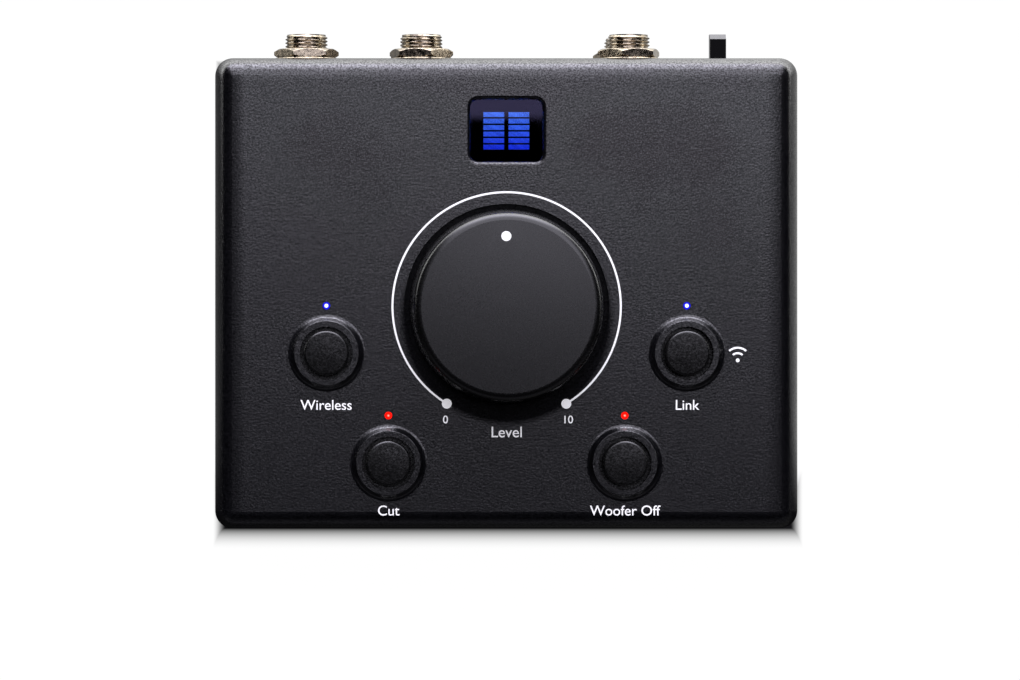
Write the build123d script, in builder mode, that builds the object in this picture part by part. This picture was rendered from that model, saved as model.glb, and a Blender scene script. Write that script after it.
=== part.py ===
from build123d import *
import os
from math import asin, cos, degrees, pi, radians, sin, sqrt, tan

os.makedirs("parts", exist_ok=True)

# Studio monitor controller: a desktop box with a large volume dial, four lamp-lit push-buttons,
# a small lit level display, and stacked jack sockets at the back.
# Millimetres. +Z is up and +Y points to the back, where the sockets are. The origin is on the
# table, under the middle of the whole object, sockets included.

# ---------------------------------------------------------------- driving dimensions

# Case
case_width = 130.0
case_depth = 105.0
wall = 2.5
corner_radius = 4.0
top_edge_radius = 3.9
inner_corner_radius = 1.5
rim_above_table = 2.5
head_room = 3.9
plate_thickness = 1.5
plate_recess = 0.5
plate_clearance = 0.2
column_width = 10.1
column_depth = 9.0
pillar_radius = 4.5
pillar_inset = 4.0
foot_radius = 5.0
foot_inset_x = 15.0
foot_inset_y = 12.5

# Rear panel
panel_thickness = 1.5
panel_set_in = 0.2
panel_clearance = 0.2
panel_corner_radius = 1.5
panel_ledge = 1.5
panel_side_lap = 7.2
panel_opening_margin = 0.6
panel_opening_side_gap = 0.1
panel_screw_inset = 8.0

# Dial
dial_offset_y = -2.9
dial_recess_radius = 22.8
dial_recess_depth = 1.5
dial_pad_margin = 1.7
knob_skirt_radius = 21.6
knob_skirt_height = 1.2
knob_shoulder_radius = 20.7
knob_crown = 0.35
knob_edge_fillet = 1.8
knob_rise = 14.5
knob_floor_gap = 0.5
knob_wall = 2.5
knob_top_thickness = 3.0
knob_hub_radius = 5.5
knob_rib_thickness = 1.2
knob_rib_count = 6
knob_rib_lap = 1.0
knob_hub_gap = 1.0
pointer_dot_radius = 1.1
pointer_dot_distance = 15.5
pointer_dot_depth = 0.6
pointer_dot_clearance = 0.01
pointer_rest_angle = 1.5

# Potentiometer
pot_radius = 8.5
pot_height = 7.0
pot_wall = 1.5
pot_shaft_radius = 3.0
pot_shaft_flat = 1.5
pot_bushing_radius = 3.5
pot_flange_radius = 5.0
pot_flange_thickness = 1.5
pot_nut_size = 10.0
pot_nut_height = 2.0
pot_washer_radius = 6.0
pot_washer_thickness = 0.5
pot_thread_spare = 1.0
pot_cap_thickness = 0.5
pot_wiper_radius = 6.2
pot_wiper_thickness = 1.2
pot_wiper_lift = 0.3
pot_shaft_gap = 0.3
shaft_end_gap = 0.5
shaft_flat_lead = 0.2
press_clearance = 0.02

# Push-buttons, placed from the case's sides and its front edge
outer_button_side_inset = 24.9
outer_button_front_inset = 39.2
inner_button_side_inset = 38.7
inner_button_front_inset = 14.75
collar_plateau_radius = 7.2
collar_base_radius = 8.1
collar_rise = 1.2
collar_foot_fillet = 1.0
collar_rim_fillet = 0.2
button_radius = 5.0
button_gap = 0.9
button_rise = 1.2
button_crown = 0.15
button_edge_fillet = 0.5
button_flange_radius = 6.9
button_flange_thickness = 1.0
button_flange_gap = 0.1
button_stem_radius = 2.2
button_travel = 0.6
switch_size = 6.0
switch_height = 3.5
switch_wall = 0.8
plunger_radius = 1.75
plunger_rise = 0.8
plunger_head_radius = 2.2
plunger_head_thickness = 0.7
plunger_head_clearance = 0.1
plunger_spare = 0.2

# Lamps
lamp_above_button = 10.55
light_pipe_radius = 0.78
light_pipe_flange_radius = 1.7
light_pipe_flange_thickness = 1.0
light_pipe_clearance = 0.05
led_length = 1.6
led_width = 0.8
led_height = 0.6
led_gap = 0.3

# Display, placed from the case's back edge
display_back_inset = 16.25
display_width = 16.2
display_height = 13.9
display_corner_radius = 1.8
display_edge_fillet = 0.8
lens_clearance = 0.1
lens_flange_margin = 1.2
lens_flange_thickness = 1.0
mask_thickness = 1.2
light_box_wall = 1.2
light_box_margin = 0.2
meter_columns = 2
meter_rows = 6
meter_bar_width = 4.6
meter_bar_height = 1.05
meter_column_gap = 1.0
meter_row_gap = 0.4
guide_clearance = 0.05
display_led_size = 2.0
display_led_spread_x = 6.0
display_led_spread_y = 6.0

# Boards
board_thickness = 1.6
board_side_gap = 0.4
board_back_gap = 0.3
spacer_height = 2.0
lower_board_depth = 66.0
upper_board_depth = 42.0
control_board_front_inset = 5.5
control_board_gap = 1.8
tongue_width = 20.6
tongue_side_gap = 1.6
tongue_margin = 1.0
boss_radius = 3.0
rear_boss_side_inset = 16.5
rear_boss_inset = 10.0
front_boss_side_inset = 21.0
front_boss_inset = 4.0
spacer_radius = 2.8
pillar_size = 5.0
rear_pillar_right_inset = 26.4
rear_pillar_inset = 6.0
front_pillar_side_inset = 19.0
front_pillar_inset = 33.0

# Jacks: 6.35 mm sockets with a 3/8 inch-32 bushing. The outer columns are placed from the case's
# sides, and the main one beside the display's part of the control board
sub_out_inset = 20.2
input_inset = 37.2
jack_width = 14.0
jack_height = 14.0
jack_depth = 27.0
jack_floor = 3.0
jack_stack_gap = 0.4
jack_edge_chamfer = 0.5
jack_bore_radius = 3.2
jack_cavity_radius = 3.5
thread_radius = 4.7625
thread_pitch = 0.79375
thread_depth = 0.42
thread_flank_share = 0.4
thread_crest_share = 0.2
thread_reach = 5.9
thread_start = 0.1
thread_plain_end = 0.3
bushing_root_radius = 4.5
bushing_root_length = 4.0
jack_nut_size = 12.7
jack_nut_height = 2.1
nut_face_bevel = 0.15
nut_bevel_angle = 30.0
jack_washer_radius = 7.3
jack_washer_thickness = 0.6
jack_panel_clearance = 0.14
contact_thickness = 0.4
contact_width = 2.6
contact_length = 14.0
contact_bump = 0.6
contact_bump_length = 4.0
contact_back_gap = 2.0
contact_side_gap = 0.2
contact_end_gap = 0.3
contact_tail_length = 1.2
contact_tail_slot = 1.0
contact_pocket_radius = 5.3

# 3.5 mm aux socket
aux_x = 5.0
aux_width = 7.0
aux_height = 6.0
aux_depth = 13.0
aux_bore_radius = 1.8
aux_barrel_radius = 3.0
aux_barrel_root = 2.5
aux_barrel_wall = 0.75
aux_cavity_gap = 0.3
aux_floor = 1.0

# Power inlet and power button, placed from the right side of the case
inlet_inset = 18.0
inlet_width = 9.0
inlet_height = 11.0
inlet_depth = 14.0
inlet_bore_rise = 6.38
inlet_collar_radius = 3.9
inlet_bore_radius = 2.85
inlet_bore_depth = 9.5
inlet_pin_radius = 1.0
inlet_pin_setback = 1.0
power_switch_inset = 16.9
power_switch_width = 7.0
power_switch_height = 7.0
power_switch_depth = 11.0
power_switch_setback = 7.0
power_button_size = 3.65
power_button_gap = 0.2
power_button_reach = 6.2
power_button_tail = 3.5
power_button_chamfer = 1.1
power_button_travel = 2.5
slider_size = 2.4
slider_clearance = 0.1
slider_socket_depth = 3.0
slider_end_gap = 0.3

# Screws
screw_radius = 1.45
screw_hole_radius = 1.5
screw_head_radius = 2.9
screw_head_height = 1.5
screw_hole_depth = 6.0
screw_grip = 5.0
pan_head_radius = 2.5
pan_head_height = 1.7
recess_radius = 1.1
recess_depth = 0.8
running_clearance = 0.05

# Ribbon cable, board link and the chips
ribbon_width = 20.0
ribbon_thickness = 0.8
ribbon_x = -1.0
ribbon_loop = 8.0
connector_depth = 5.0
connector_height = 2.6
connector_margin = 1.0
connector_inset = 6.0
link_x = -4.0
link_inset = 37.0
link_length = 16.0
link_width = 2.5
link_body_height = 8.5
link_pin_count = 6
link_pin_radius = 0.32
link_pin_clearance = 0.03
chip_length = 5.0
chip_width = 4.0
chip_height = 1.6
aux_chip_inset = 24.0
driver_chip_x = -24.5
driver_chip_spacing = 11.0
driver_chip_inset = 35.0
input_chip_inset = 36.0
regulator_x = -22.0
regulator_spacing = 16.0
regulator_inset = 46.0
capacitor_radius = 3.15
capacitor_height = 7.7
capacitor_count = 4
capacitor_gap = 2.2
capacitor_from_inlet = 12.0
capacitor_inset = 50.0
module_width = 15.0
module_depth = 20.0
module_thickness = 0.8
module_inset = 52.0
shield_width = 11.0
shield_depth = 12.0
shield_height = 2.0
shield_wall = 0.3

# ---------------------------------------------------------------- worked-out places

ON_BASE = (Align.CENTER, Align.CENTER, Align.MIN)
TO_BACK = (-90, 0, 0)

# Heights, from the table up
plate_bottom = rim_above_table + plate_recess
plate_top = plate_bottom + plate_thickness
lower_board_bottom = plate_top + spacer_height
lower_board_top = lower_board_bottom + board_thickness
lower_jack_z = lower_board_top + jack_height / 2
upper_board_bottom = lower_board_top + jack_height + jack_stack_gap
upper_board_top = upper_board_bottom + board_thickness
upper_jack_z = upper_board_top + jack_height / 2
upper_jack_top = upper_board_top + jack_height
ceiling = upper_jack_top + head_room
top_face = ceiling + wall
dial_floor = top_face - dial_recess_depth
pad_face = dial_floor - wall
control_board_top = pad_face - pot_height
control_board_bottom = control_board_top - board_thickness
collar_top = top_face + collar_rise
knob_bottom = dial_floor + knob_floor_gap
knob_top = top_face + knob_rise

# Depths, from the middle of the object to the back
back_reach = max(thread_reach, power_button_reach) - panel_set_in
case_centre_y = -back_reach / 2
case_back = case_centre_y + case_depth / 2
case_front = case_centre_y - case_depth / 2
panel_outer = case_back - panel_set_in
panel_inner = panel_outer - panel_thickness
wall_inner = case_back - wall
board_back = wall_inner - board_back_gap
jack_front = panel_inner - jack_depth
control_board_back = jack_front - control_board_gap
control_board_front = case_front + control_board_front_inset

# Widths
inner_width = case_width - 2 * wall
inner_depth = case_depth - 2 * wall
column_face = inner_width / 2 - column_width
board_width = 2 * (column_face - board_side_gap)
outer_button_x = case_width / 2 - outer_button_side_inset
inner_button_x = case_width / 2 - inner_button_side_inset
sub_out_x = sub_out_inset - case_width / 2
main_out_x = -(tongue_width / 2 + tongue_side_gap + jack_width / 2)
input_x = case_width / 2 - input_inset
inlet_x = case_width / 2 - inlet_inset
power_switch_x = case_width / 2 - power_switch_inset
front_pillar_x = case_width / 2 - front_pillar_side_inset
rear_boss_x = case_width / 2 - rear_boss_side_inset
front_boss_x = case_width / 2 - front_boss_side_inset

# Rear panel and its opening
opening_half_width = column_face - panel_opening_side_gap
opening_low = lower_board_top - panel_opening_margin
opening_high = upper_jack_top + panel_opening_margin
opening_mid_z = (opening_low + opening_high) / 2
seat_width = 2 * (opening_half_width + panel_side_lap)
seat_height = opening_high - opening_low + 2 * panel_ledge
panel_width = seat_width - 2 * panel_clearance
panel_height = seat_height - 2 * panel_clearance
panel_screw_x = (opening_half_width + panel_width / 2) / 2
panel_screw_rise = panel_height / 2 - panel_screw_inset
panel_screws = [(x, opening_mid_z + z) for x in (-panel_screw_x, panel_screw_x)
                for z in (-panel_screw_rise, panel_screw_rise)]


def on_case(x, y):
    """A place measured from the middle of the case, in the part's own frame."""
    return (x, case_centre_y + y)


dial_centre = on_case(0, dial_offset_y)
display_centre = (0, case_back - display_back_inset)
button_places = {
    "wireless": (-outer_button_x, case_front + outer_button_front_inset),
    "pair": (outer_button_x, case_front + outer_button_front_inset),
    "mute": (-inner_button_x, case_front + inner_button_front_inset),
    "sub": (inner_button_x, case_front + inner_button_front_inset),
}
lamp_places = {name: (x, y + lamp_above_button) for name, (x, y) in button_places.items()}
blue_lamps = [lamp_places["wireless"], lamp_places["pair"]]
red_lamps = [lamp_places["mute"], lamp_places["sub"]]
case_screws = [(sx * (inner_width / 2 - pillar_inset),
                case_centre_y + sy * (inner_depth / 2 - pillar_inset))
               for sx in (-1, 1) for sy in (-1, 1)]
front_case_screws = [place for place in case_screws if place[1] < case_centre_y]
feet = [(sx * (case_width / 2 - foot_inset_x), case_centre_y + sy * (case_depth / 2 - foot_inset_y))
        for sx in (-1, 1) for sy in (-1, 1)]
pillars = [((sub_out_x + main_out_x) / 2, board_back - rear_pillar_inset),
           (case_width / 2 - rear_pillar_right_inset, board_back - rear_pillar_inset),
           (-front_pillar_x, board_back - front_pillar_inset),
           (front_pillar_x, board_back - front_pillar_inset)]
control_bosses = [(-rear_boss_x, control_board_back - rear_boss_inset),
                  (rear_boss_x, control_board_back - rear_boss_inset),
                  (-front_boss_x, control_board_front + front_boss_inset),
                  (front_boss_x, control_board_front + front_boss_inset)]
jack_places = {
    "sub_out_jack": (sub_out_x, upper_jack_z),
    "main_left_jack": (main_out_x, upper_jack_z),
    "main_right_jack": (main_out_x, lower_jack_z),
    "input_left_jack": (input_x, upper_jack_z),
    "input_right_jack": (input_x, lower_jack_z),
}
# How far each nut's corner has turned from straight up when it was tightened
nut_turns = {
    "sub_out_jack": 7.6,
    "main_left_jack": -13.0,
    "main_right_jack": 21.0,
    "input_left_jack": 16.0,
    "input_right_jack": -5.0,
}
aux_z = upper_board_top + aux_height / 2
inlet_z = lower_board_top + inlet_bore_rise
power_switch_z = upper_board_top + power_switch_height / 2


def posts(places, radius, low, high, mode=Mode.ADD):
    """Upright round bars, or holes, between two heights."""
    with Locations(*[(x, y, low) for x, y in places]):
        Cylinder(radius, high - low, align=ON_BASE, mode=mode)


def blocks(places, width, depth, low, high, mode=Mode.ADD):
    """Upright square bars, or holes, between two heights."""
    with Locations(*[(x, y, low) for x, y in places]):
        Box(width, depth, high - low, align=ON_BASE, mode=mode)


def bars(places, radius, front, back, mode=Mode.ADD):
    """Round bars, or holes, that run from front to back at the given x and z."""
    with Locations(*[(x, front, z) for x, z in places]):
        Cylinder(radius, back - front, rotation=TO_BACK, align=ON_BASE, mode=mode)


def beams(places, width, height, front, back, mode=Mode.ADD):
    """Square bars, or holes, that run from front to back at the given x and z."""
    with Locations(*[(x, (front + back) / 2, z) for x, z in places]):
        Box(width, back - front, height, mode=mode)


def crown_drop(radius, crown, distance):
    """How far a domed face, as high as its crown at the middle, has dropped at a distance from it."""
    dome_radius = (radius ** 2 + crown ** 2) / (2 * crown)
    return dome_radius - sqrt(dome_radius ** 2 - distance ** 2)


def crowned_post(place, side, radius, top, crown):
    """An upright turned form: side points from the bottom up, then a shallow dome of a given crown."""
    dome_radius = (radius ** 2 + crown ** 2) / (2 * crown)
    with BuildSketch(Plane(origin=(*place, 0), x_dir=(1, 0, 0), z_dir=(0, -1, 0))) as profile:
        with BuildLine():
            dome = JernArc((0, top), (1, 0), dome_radius, -degrees(asin(radius / dome_radius)))
            Polyline(dome @ 1, *reversed(side), (0, side[0][1]), (0, top))
        make_face()
    revolve(profile.sketch, axis=Axis((*place, 0), (0, 0, 1)))


def round_edges(piece, radius, height):
    """The level round edges of a piece that have a given radius and height."""
    return [e for e in piece.edges().filter_by(GeomType.CIRCLE)
            if abs(e.radius - radius) < 0.01 and abs(e.center().Z - height) < 0.01]


def facing_back(y):
    """A plane across the object at depth y. Extruding by a plus amount goes to the front."""
    return Plane.XZ.offset(-y)


def save(piece, name):
    """Label a finished piece and write it as its own file."""
    piece.part.label = name
    export_step(piece.part, f"parts/{name}.step")


# ---------------------------------------------------------------- casing

# Cast top: five walls with rounded edges, a dish for the dial, a raised collar round each button
with BuildPart() as top_cover:
    with BuildSketch(Plane.XY.offset(rim_above_table)):
        with Locations(on_case(0, 0)):
            RectangleRounded(case_width, case_depth, corner_radius)
    extrude(amount=top_face - rim_above_table)
    fillet(top_cover.faces().sort_by(Axis.Z)[-1].edges(), top_edge_radius)
    with BuildSketch(Plane.XY.offset(rim_above_table)):
        with Locations(on_case(0, 0)):
            RectangleRounded(inner_width, inner_depth, inner_corner_radius)
    extrude(amount=ceiling - rim_above_table, mode=Mode.SUBTRACT)

    # Pad under the dial, columns beside the rear panel, pillars in the front corners, board bosses
    posts([dial_centre], dial_recess_radius + dial_pad_margin, pad_face, ceiling)
    column_x = column_face + (column_width + wall / 2) / 2
    column_y = wall_inner + wall / 4 - (column_depth + wall / 2) / 2
    blocks([(-column_x, column_y), (column_x, column_y)], column_width + wall / 2,
           column_depth + wall / 2, plate_top, ceiling)
    posts(front_case_screws, pillar_radius, plate_top, ceiling)
    posts(control_bosses, boss_radius, control_board_top, ceiling)

    # Collar round each button: a low cone with a soft foot
    for x, y in button_places.values():
        with BuildSketch(Plane(origin=(x, y, top_face), x_dir=(1, 0, 0), z_dir=(0, -1, 0))):
            with BuildLine():
                Polyline(
                    (0, -wall / 2),
                    (collar_base_radius, -wall / 2),
                    (collar_base_radius, 0),
                    (collar_plateau_radius, collar_rise),
                    (0, collar_rise),
                    close=True,
                )
            make_face()
        revolve(axis=Axis((x, y, top_face), (0, 0, 1)))
    fillet(round_edges(top_cover, collar_base_radius, top_face), collar_foot_fillet)
    fillet(round_edges(top_cover, collar_plateau_radius, collar_top), collar_rim_fillet)

    # Dish, button holes, lamp holes, and the hole for the potentiometer's bushing
    posts([dial_centre], dial_recess_radius, dial_floor, top_face, Mode.SUBTRACT)
    posts([dial_centre], pot_bushing_radius + running_clearance, pad_face, dial_floor, Mode.SUBTRACT)
    posts(button_places.values(), button_radius + button_gap, ceiling, collar_top, Mode.SUBTRACT)
    posts(lamp_places.values(), light_pipe_radius + light_pipe_clearance, ceiling, top_face,
          Mode.SUBTRACT)

    # Display opening with a rounded upper edge
    with BuildSketch(Plane.XY.offset(ceiling)):
        with Locations(display_centre):
            RectangleRounded(display_width, display_height, display_corner_radius)
    extrude(amount=wall, mode=Mode.SUBTRACT)
    rim = top_cover.edges().filter_by_position(Axis.Z, top_face, top_face)
    near_display = [e for e in rim if abs(e.center().X) < display_width
                    and e.center().Y > display_centre[1] - display_height]
    fillet(near_display, display_edge_fillet)

    # Seat and opening for the rear panel
    with BuildSketch(facing_back(case_back)):
        with Locations((0, opening_mid_z)):
            RectangleRounded(seat_width, seat_height, panel_corner_radius)
    extrude(amount=panel_set_in + panel_thickness, mode=Mode.SUBTRACT)
    with BuildSketch(facing_back(case_back)):
        with Locations((0, opening_mid_z)):
            Rectangle(2 * opening_half_width, opening_high - opening_low)
    extrude(amount=wall, mode=Mode.SUBTRACT)

    # Screw holes: up from below for the base plate, in from the back for the rear panel
    posts(case_screws, screw_hole_radius, plate_top, plate_top + screw_hole_depth, Mode.SUBTRACT)
    bars(panel_screws, screw_hole_radius, panel_inner - screw_hole_depth, panel_inner, Mode.SUBTRACT)
    posts(control_bosses, screw_hole_radius, control_board_top, control_board_top + screw_hole_depth,
          Mode.SUBTRACT)
save(top_cover, "top_cover")

# Folded steel bottom, let into the cover, with countersunk screws
with BuildPart() as base_plate:
    with BuildSketch(Plane.XY.offset(plate_bottom)):
        with Locations(on_case(0, 0)):
            RectangleRounded(inner_width - 2 * plate_clearance, inner_depth - 2 * plate_clearance,
                             inner_corner_radius)
    extrude(amount=plate_thickness)
    with Locations(*[(x, y, plate_bottom) for x, y in case_screws]):
        Cone(screw_head_radius + running_clearance, screw_hole_radius, screw_head_height,
             align=ON_BASE, mode=Mode.SUBTRACT)
    posts(pillars, screw_hole_radius, plate_bottom, plate_top, Mode.SUBTRACT)
save(base_plate, "base_plate")

with BuildPart() as rear_panel:
    with BuildSketch(facing_back(panel_outer)):
        with Locations((0, opening_mid_z)):
            RectangleRounded(panel_width, panel_height, panel_corner_radius)
    extrude(amount=panel_thickness)
    bars(jack_places.values(), thread_radius + jack_panel_clearance, panel_inner, panel_outer,
         Mode.SUBTRACT)
    bars([(aux_x, aux_z)], aux_barrel_radius + running_clearance, panel_inner, panel_outer,
         Mode.SUBTRACT)
    bars([(inlet_x, inlet_z)], inlet_collar_radius + running_clearance, panel_inner, panel_outer,
         Mode.SUBTRACT)
    hole_size = power_button_size + 2 * power_button_gap
    beams([(power_switch_x, power_switch_z)], hole_size, hole_size, panel_inner, panel_outer,
          Mode.SUBTRACT)
    with Locations(*[(x, panel_inner, z) for x, z in panel_screws]):
        Cone(screw_hole_radius, screw_head_radius + running_clearance, panel_thickness,
             rotation=TO_BACK, align=ON_BASE, mode=Mode.SUBTRACT)
save(rear_panel, "rear_panel")

with BuildPart() as rubber_feet:
    posts(feet, foot_radius, 0, plate_bottom)
    rims = rubber_feet.edges().filter_by(GeomType.CIRCLE).filter_by_position(Axis.Z, 0, 0)
    fillet(rims, rim_above_table / 4)
save(rubber_feet, "rubber_feet")

# Countersunk screws, with a round driver recess in the head
with BuildPart() as base_screws:
    with Locations(*[(x, y, plate_bottom) for x, y in case_screws]):
        Cone(screw_head_radius, screw_radius, screw_head_height, align=ON_BASE)
    posts(case_screws, screw_radius, plate_top, plate_top + screw_grip)
    posts(case_screws, recess_radius, plate_bottom, plate_bottom + recess_depth, Mode.SUBTRACT)
save(base_screws, "base_screws")

with BuildPart() as rear_panel_screws:
    with Locations(*[(x, panel_inner, z) for x, z in panel_screws]):
        Cone(screw_radius, screw_head_radius, panel_thickness, rotation=TO_BACK, align=ON_BASE)
    bars(panel_screws, screw_radius, panel_inner - screw_grip, panel_inner)
    bars(panel_screws, recess_radius, panel_outer - recess_depth, panel_outer, Mode.SUBTRACT)
save(rear_panel_screws, "rear_panel_screws")

# ---------------------------------------------------------------- dial and potentiometer

shaft_low = control_board_top + pot_wall
cavity_high = pad_face - pot_flange_thickness - pot_cap_thickness
bushing_top = dial_floor + pot_washer_thickness + pot_nut_height + pot_thread_spare
hub_low = bushing_top + knob_hub_gap
knob_inside_top = knob_top - knob_top_thickness
shaft_top = knob_inside_top - shaft_end_gap
flat_low = hub_low - shaft_flat_lead
knob_inside_radius = knob_shoulder_radius - knob_wall
wiper_low = shaft_low + pot_wiper_lift
pointer_dot_top = knob_top - crown_drop(knob_shoulder_radius, knob_crown, pointer_dot_distance)
pointer_dot_low = pointer_dot_top - pointer_dot_depth
flat_turn = Plane(origin=(dial_centre[0], dial_centre[1], 0),
                  x_dir=(cos(radians(pointer_rest_angle)), sin(radians(pointer_rest_angle)), 0),
                  z_dir=(0, 0, 1))

# Moulded knob: a hollow cup that widens to its skirt, a ribbed hub with a D-shaped bore
with BuildPart() as volume_knob:
    crowned_post(dial_centre, [(knob_skirt_radius, knob_bottom),
                               (knob_skirt_radius, knob_bottom + knob_skirt_height)],
                 knob_shoulder_radius, knob_top, knob_crown)
    fillet(round_edges(volume_knob, knob_shoulder_radius, knob_top - knob_crown), knob_edge_fillet)
    posts([dial_centre], knob_inside_radius, knob_bottom, knob_inside_top, Mode.SUBTRACT)
    posts([dial_centre], knob_hub_radius, hub_low, knob_inside_top)
    for rib in range(knob_rib_count):
        turned = flat_turn.rotated((0, 0, 360 / knob_rib_count * (rib + 0.5)))
        with BuildSketch(turned.offset(hub_low)):
            with Locations(((knob_hub_radius + knob_inside_radius) / 2, 0)):
                Rectangle(knob_inside_radius - knob_hub_radius + knob_rib_lap, knob_rib_thickness)
        extrude(amount=knob_inside_top - hub_low)
    with BuildSketch(flat_turn.offset(hub_low)):
        Circle(pot_shaft_radius + press_clearance)
        with Locations((0, -pot_shaft_flat - press_clearance)):
            Rectangle(3 * pot_shaft_radius, 2 * pot_shaft_radius, align=(Align.CENTER, Align.MAX),
                      mode=Mode.SUBTRACT)
    extrude(amount=knob_inside_top - hub_low, mode=Mode.SUBTRACT)
    with BuildSketch(flat_turn.offset(knob_top)):
        with Locations((0, pointer_dot_distance)):
            Circle(pointer_dot_radius + pointer_dot_clearance)
    extrude(amount=pointer_dot_low - knob_top, mode=Mode.SUBTRACT)
save(volume_knob, "volume_knob")

with BuildPart() as knob_pointer_dot:
    with BuildSketch(flat_turn.offset(pointer_dot_low)):
        with Locations((0, pointer_dot_distance)):
            Circle(pointer_dot_radius)
    extrude(amount=pointer_dot_depth)
save(knob_pointer_dot, "knob_pointer_dot")

with BuildPart() as pot_shaft:
    posts([dial_centre], pot_shaft_radius, shaft_low, flat_low)
    with BuildSketch(flat_turn.offset(flat_low)):
        Circle(pot_shaft_radius)
        with Locations((0, -pot_shaft_flat)):
            Rectangle(3 * pot_shaft_radius, 2 * pot_shaft_radius, align=(Align.CENTER, Align.MAX),
                      mode=Mode.SUBTRACT)
    extrude(amount=shaft_top - flat_low)
save(pot_shaft, "pot_shaft")

with BuildPart() as pot_wiper:
    posts([dial_centre], pot_wiper_radius, wiper_low, wiper_low + pot_wiper_thickness)
    posts([dial_centre], pot_shaft_radius + press_clearance, wiper_low, wiper_low + pot_wiper_thickness,
          Mode.SUBTRACT)
save(pot_wiper, "pot_wiper")

with BuildPart() as pot_body:
    posts([dial_centre], pot_radius, control_board_top, pad_face)
    posts([dial_centre], pot_radius - pot_wall, shaft_low - pot_shaft_gap, cavity_high, Mode.SUBTRACT)
    posts([dial_centre], pot_shaft_radius + pot_shaft_gap, cavity_high, pad_face, Mode.SUBTRACT)
    posts([dial_centre], pot_flange_radius + press_clearance, pad_face - pot_flange_thickness, pad_face,
          Mode.SUBTRACT)
save(pot_body, "pot_body")

with BuildPart() as pot_bushing:
    posts([dial_centre], pot_flange_radius, pad_face - pot_flange_thickness, pad_face)
    posts([dial_centre], pot_bushing_radius, pad_face, bushing_top)
    posts([dial_centre], pot_shaft_radius + running_clearance, pad_face - pot_flange_thickness,
          bushing_top, Mode.SUBTRACT)
save(pot_bushing, "pot_bushing")

with BuildPart() as pot_washer:
    posts([dial_centre], pot_washer_radius, dial_floor, dial_floor + pot_washer_thickness)
    posts([dial_centre], pot_bushing_radius + running_clearance, dial_floor,
          dial_floor + pot_washer_thickness, Mode.SUBTRACT)
save(pot_washer, "pot_washer")

with BuildPart() as pot_nut:
    with BuildSketch(Plane.XY.offset(dial_floor + pot_washer_thickness)):
        with Locations(dial_centre):
            RegularPolygon(pot_nut_size / 2, 6, major_radius=False)
            Circle(pot_bushing_radius + running_clearance, mode=Mode.SUBTRACT)
    extrude(amount=pot_nut_height)
save(pot_nut, "pot_nut")

# ---------------------------------------------------------------- push-buttons

button_top = collar_top + button_rise
switch_top = control_board_top + switch_height
plunger_top = switch_top + plunger_rise
plunger_low = control_board_top + switch_wall + button_travel + plunger_spare
button_flange_top = ceiling - button_flange_gap
button_flange_low = button_flange_top - button_flange_thickness

for name, place in button_places.items():
    # Cap: a round head in the collar, a flange that stops it under the cover, a stem to the switch
    with BuildPart() as cap:
        crowned_post(place, [(button_radius, button_flange_low)], button_radius, button_top, button_crown)
        fillet(round_edges(cap, button_radius, button_top - button_crown), button_edge_fillet)
        posts([place], button_flange_radius, button_flange_low, button_flange_top)
        posts([place], button_stem_radius, plunger_top, button_flange_top)
    save(cap, f"{name}_button")

    # Plunger: the part of the switch that the stem pushes down
    with BuildPart() as plunger:
        posts([place], plunger_radius, plunger_low, plunger_top)
        posts([place], plunger_head_radius, plunger_low, plunger_low + plunger_head_thickness)
    save(plunger, f"{name}_switch_plunger")

with BuildPart() as tact_switches:
    blocks(button_places.values(), switch_size, switch_size, control_board_top, switch_top)
    posts(button_places.values(), plunger_head_radius + plunger_head_clearance,
          control_board_top + switch_wall, plunger_low + plunger_head_thickness + running_clearance,
          Mode.SUBTRACT)
    posts(button_places.values(), plunger_radius + running_clearance, plunger_low, switch_top,
          Mode.SUBTRACT)
save(tact_switches, "tact_switches")

# ---------------------------------------------------------------- lamps

pipe_low = control_board_top + led_height + led_gap


def light_pipes(places):
    """Clear rods that carry a lamp's light up to the top face."""
    with BuildPart() as pipes:
        posts(places, light_pipe_radius, pipe_low, top_face)
        posts(places, light_pipe_flange_radius, ceiling - light_pipe_flange_thickness, ceiling)
    return pipes


save(light_pipes(blue_lamps), "blue_light_pipes")
save(light_pipes(red_lamps), "red_light_pipes")

# Surface-mounted lamps on the control board: one under each pipe, four behind the display
display_led_places = [(x * display_led_spread_x / 2, display_centre[1] + y * display_led_spread_y / 2)
                      for x in (-1, 1) for y in (-1, 1)]
with BuildPart() as board_leds:
    blocks(lamp_places.values(), led_length, led_width, control_board_top, control_board_top + led_height)
    blocks(display_led_places, display_led_size, display_led_size, control_board_top,
           control_board_top + led_height)
save(board_leds, "board_leds")

# ---------------------------------------------------------------- display

lens_top = top_face - display_edge_fillet
flange_low = ceiling - lens_flange_thickness
lens_width = display_width - 2 * lens_clearance
lens_height = display_height - 2 * lens_clearance
box_width = display_width + 2 * light_box_margin
box_height = display_height + 2 * light_box_margin
bar_pitch_x = meter_bar_width + meter_column_gap
bar_pitch_y = meter_bar_height + meter_row_gap

with BuildPart() as display_lens:
    with BuildSketch(Plane.XY.offset(flange_low)):
        with Locations(display_centre):
            RectangleRounded(display_width + 2 * lens_flange_margin,
                             display_height + 2 * lens_flange_margin, display_corner_radius)
    extrude(amount=lens_flange_thickness)
    with BuildSketch(Plane.XY.offset(ceiling)):
        with Locations(display_centre):
            RectangleRounded(lens_width, lens_height, display_corner_radius - lens_clearance)
    extrude(amount=lens_top - ceiling)
save(display_lens, "display_lens")

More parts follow.
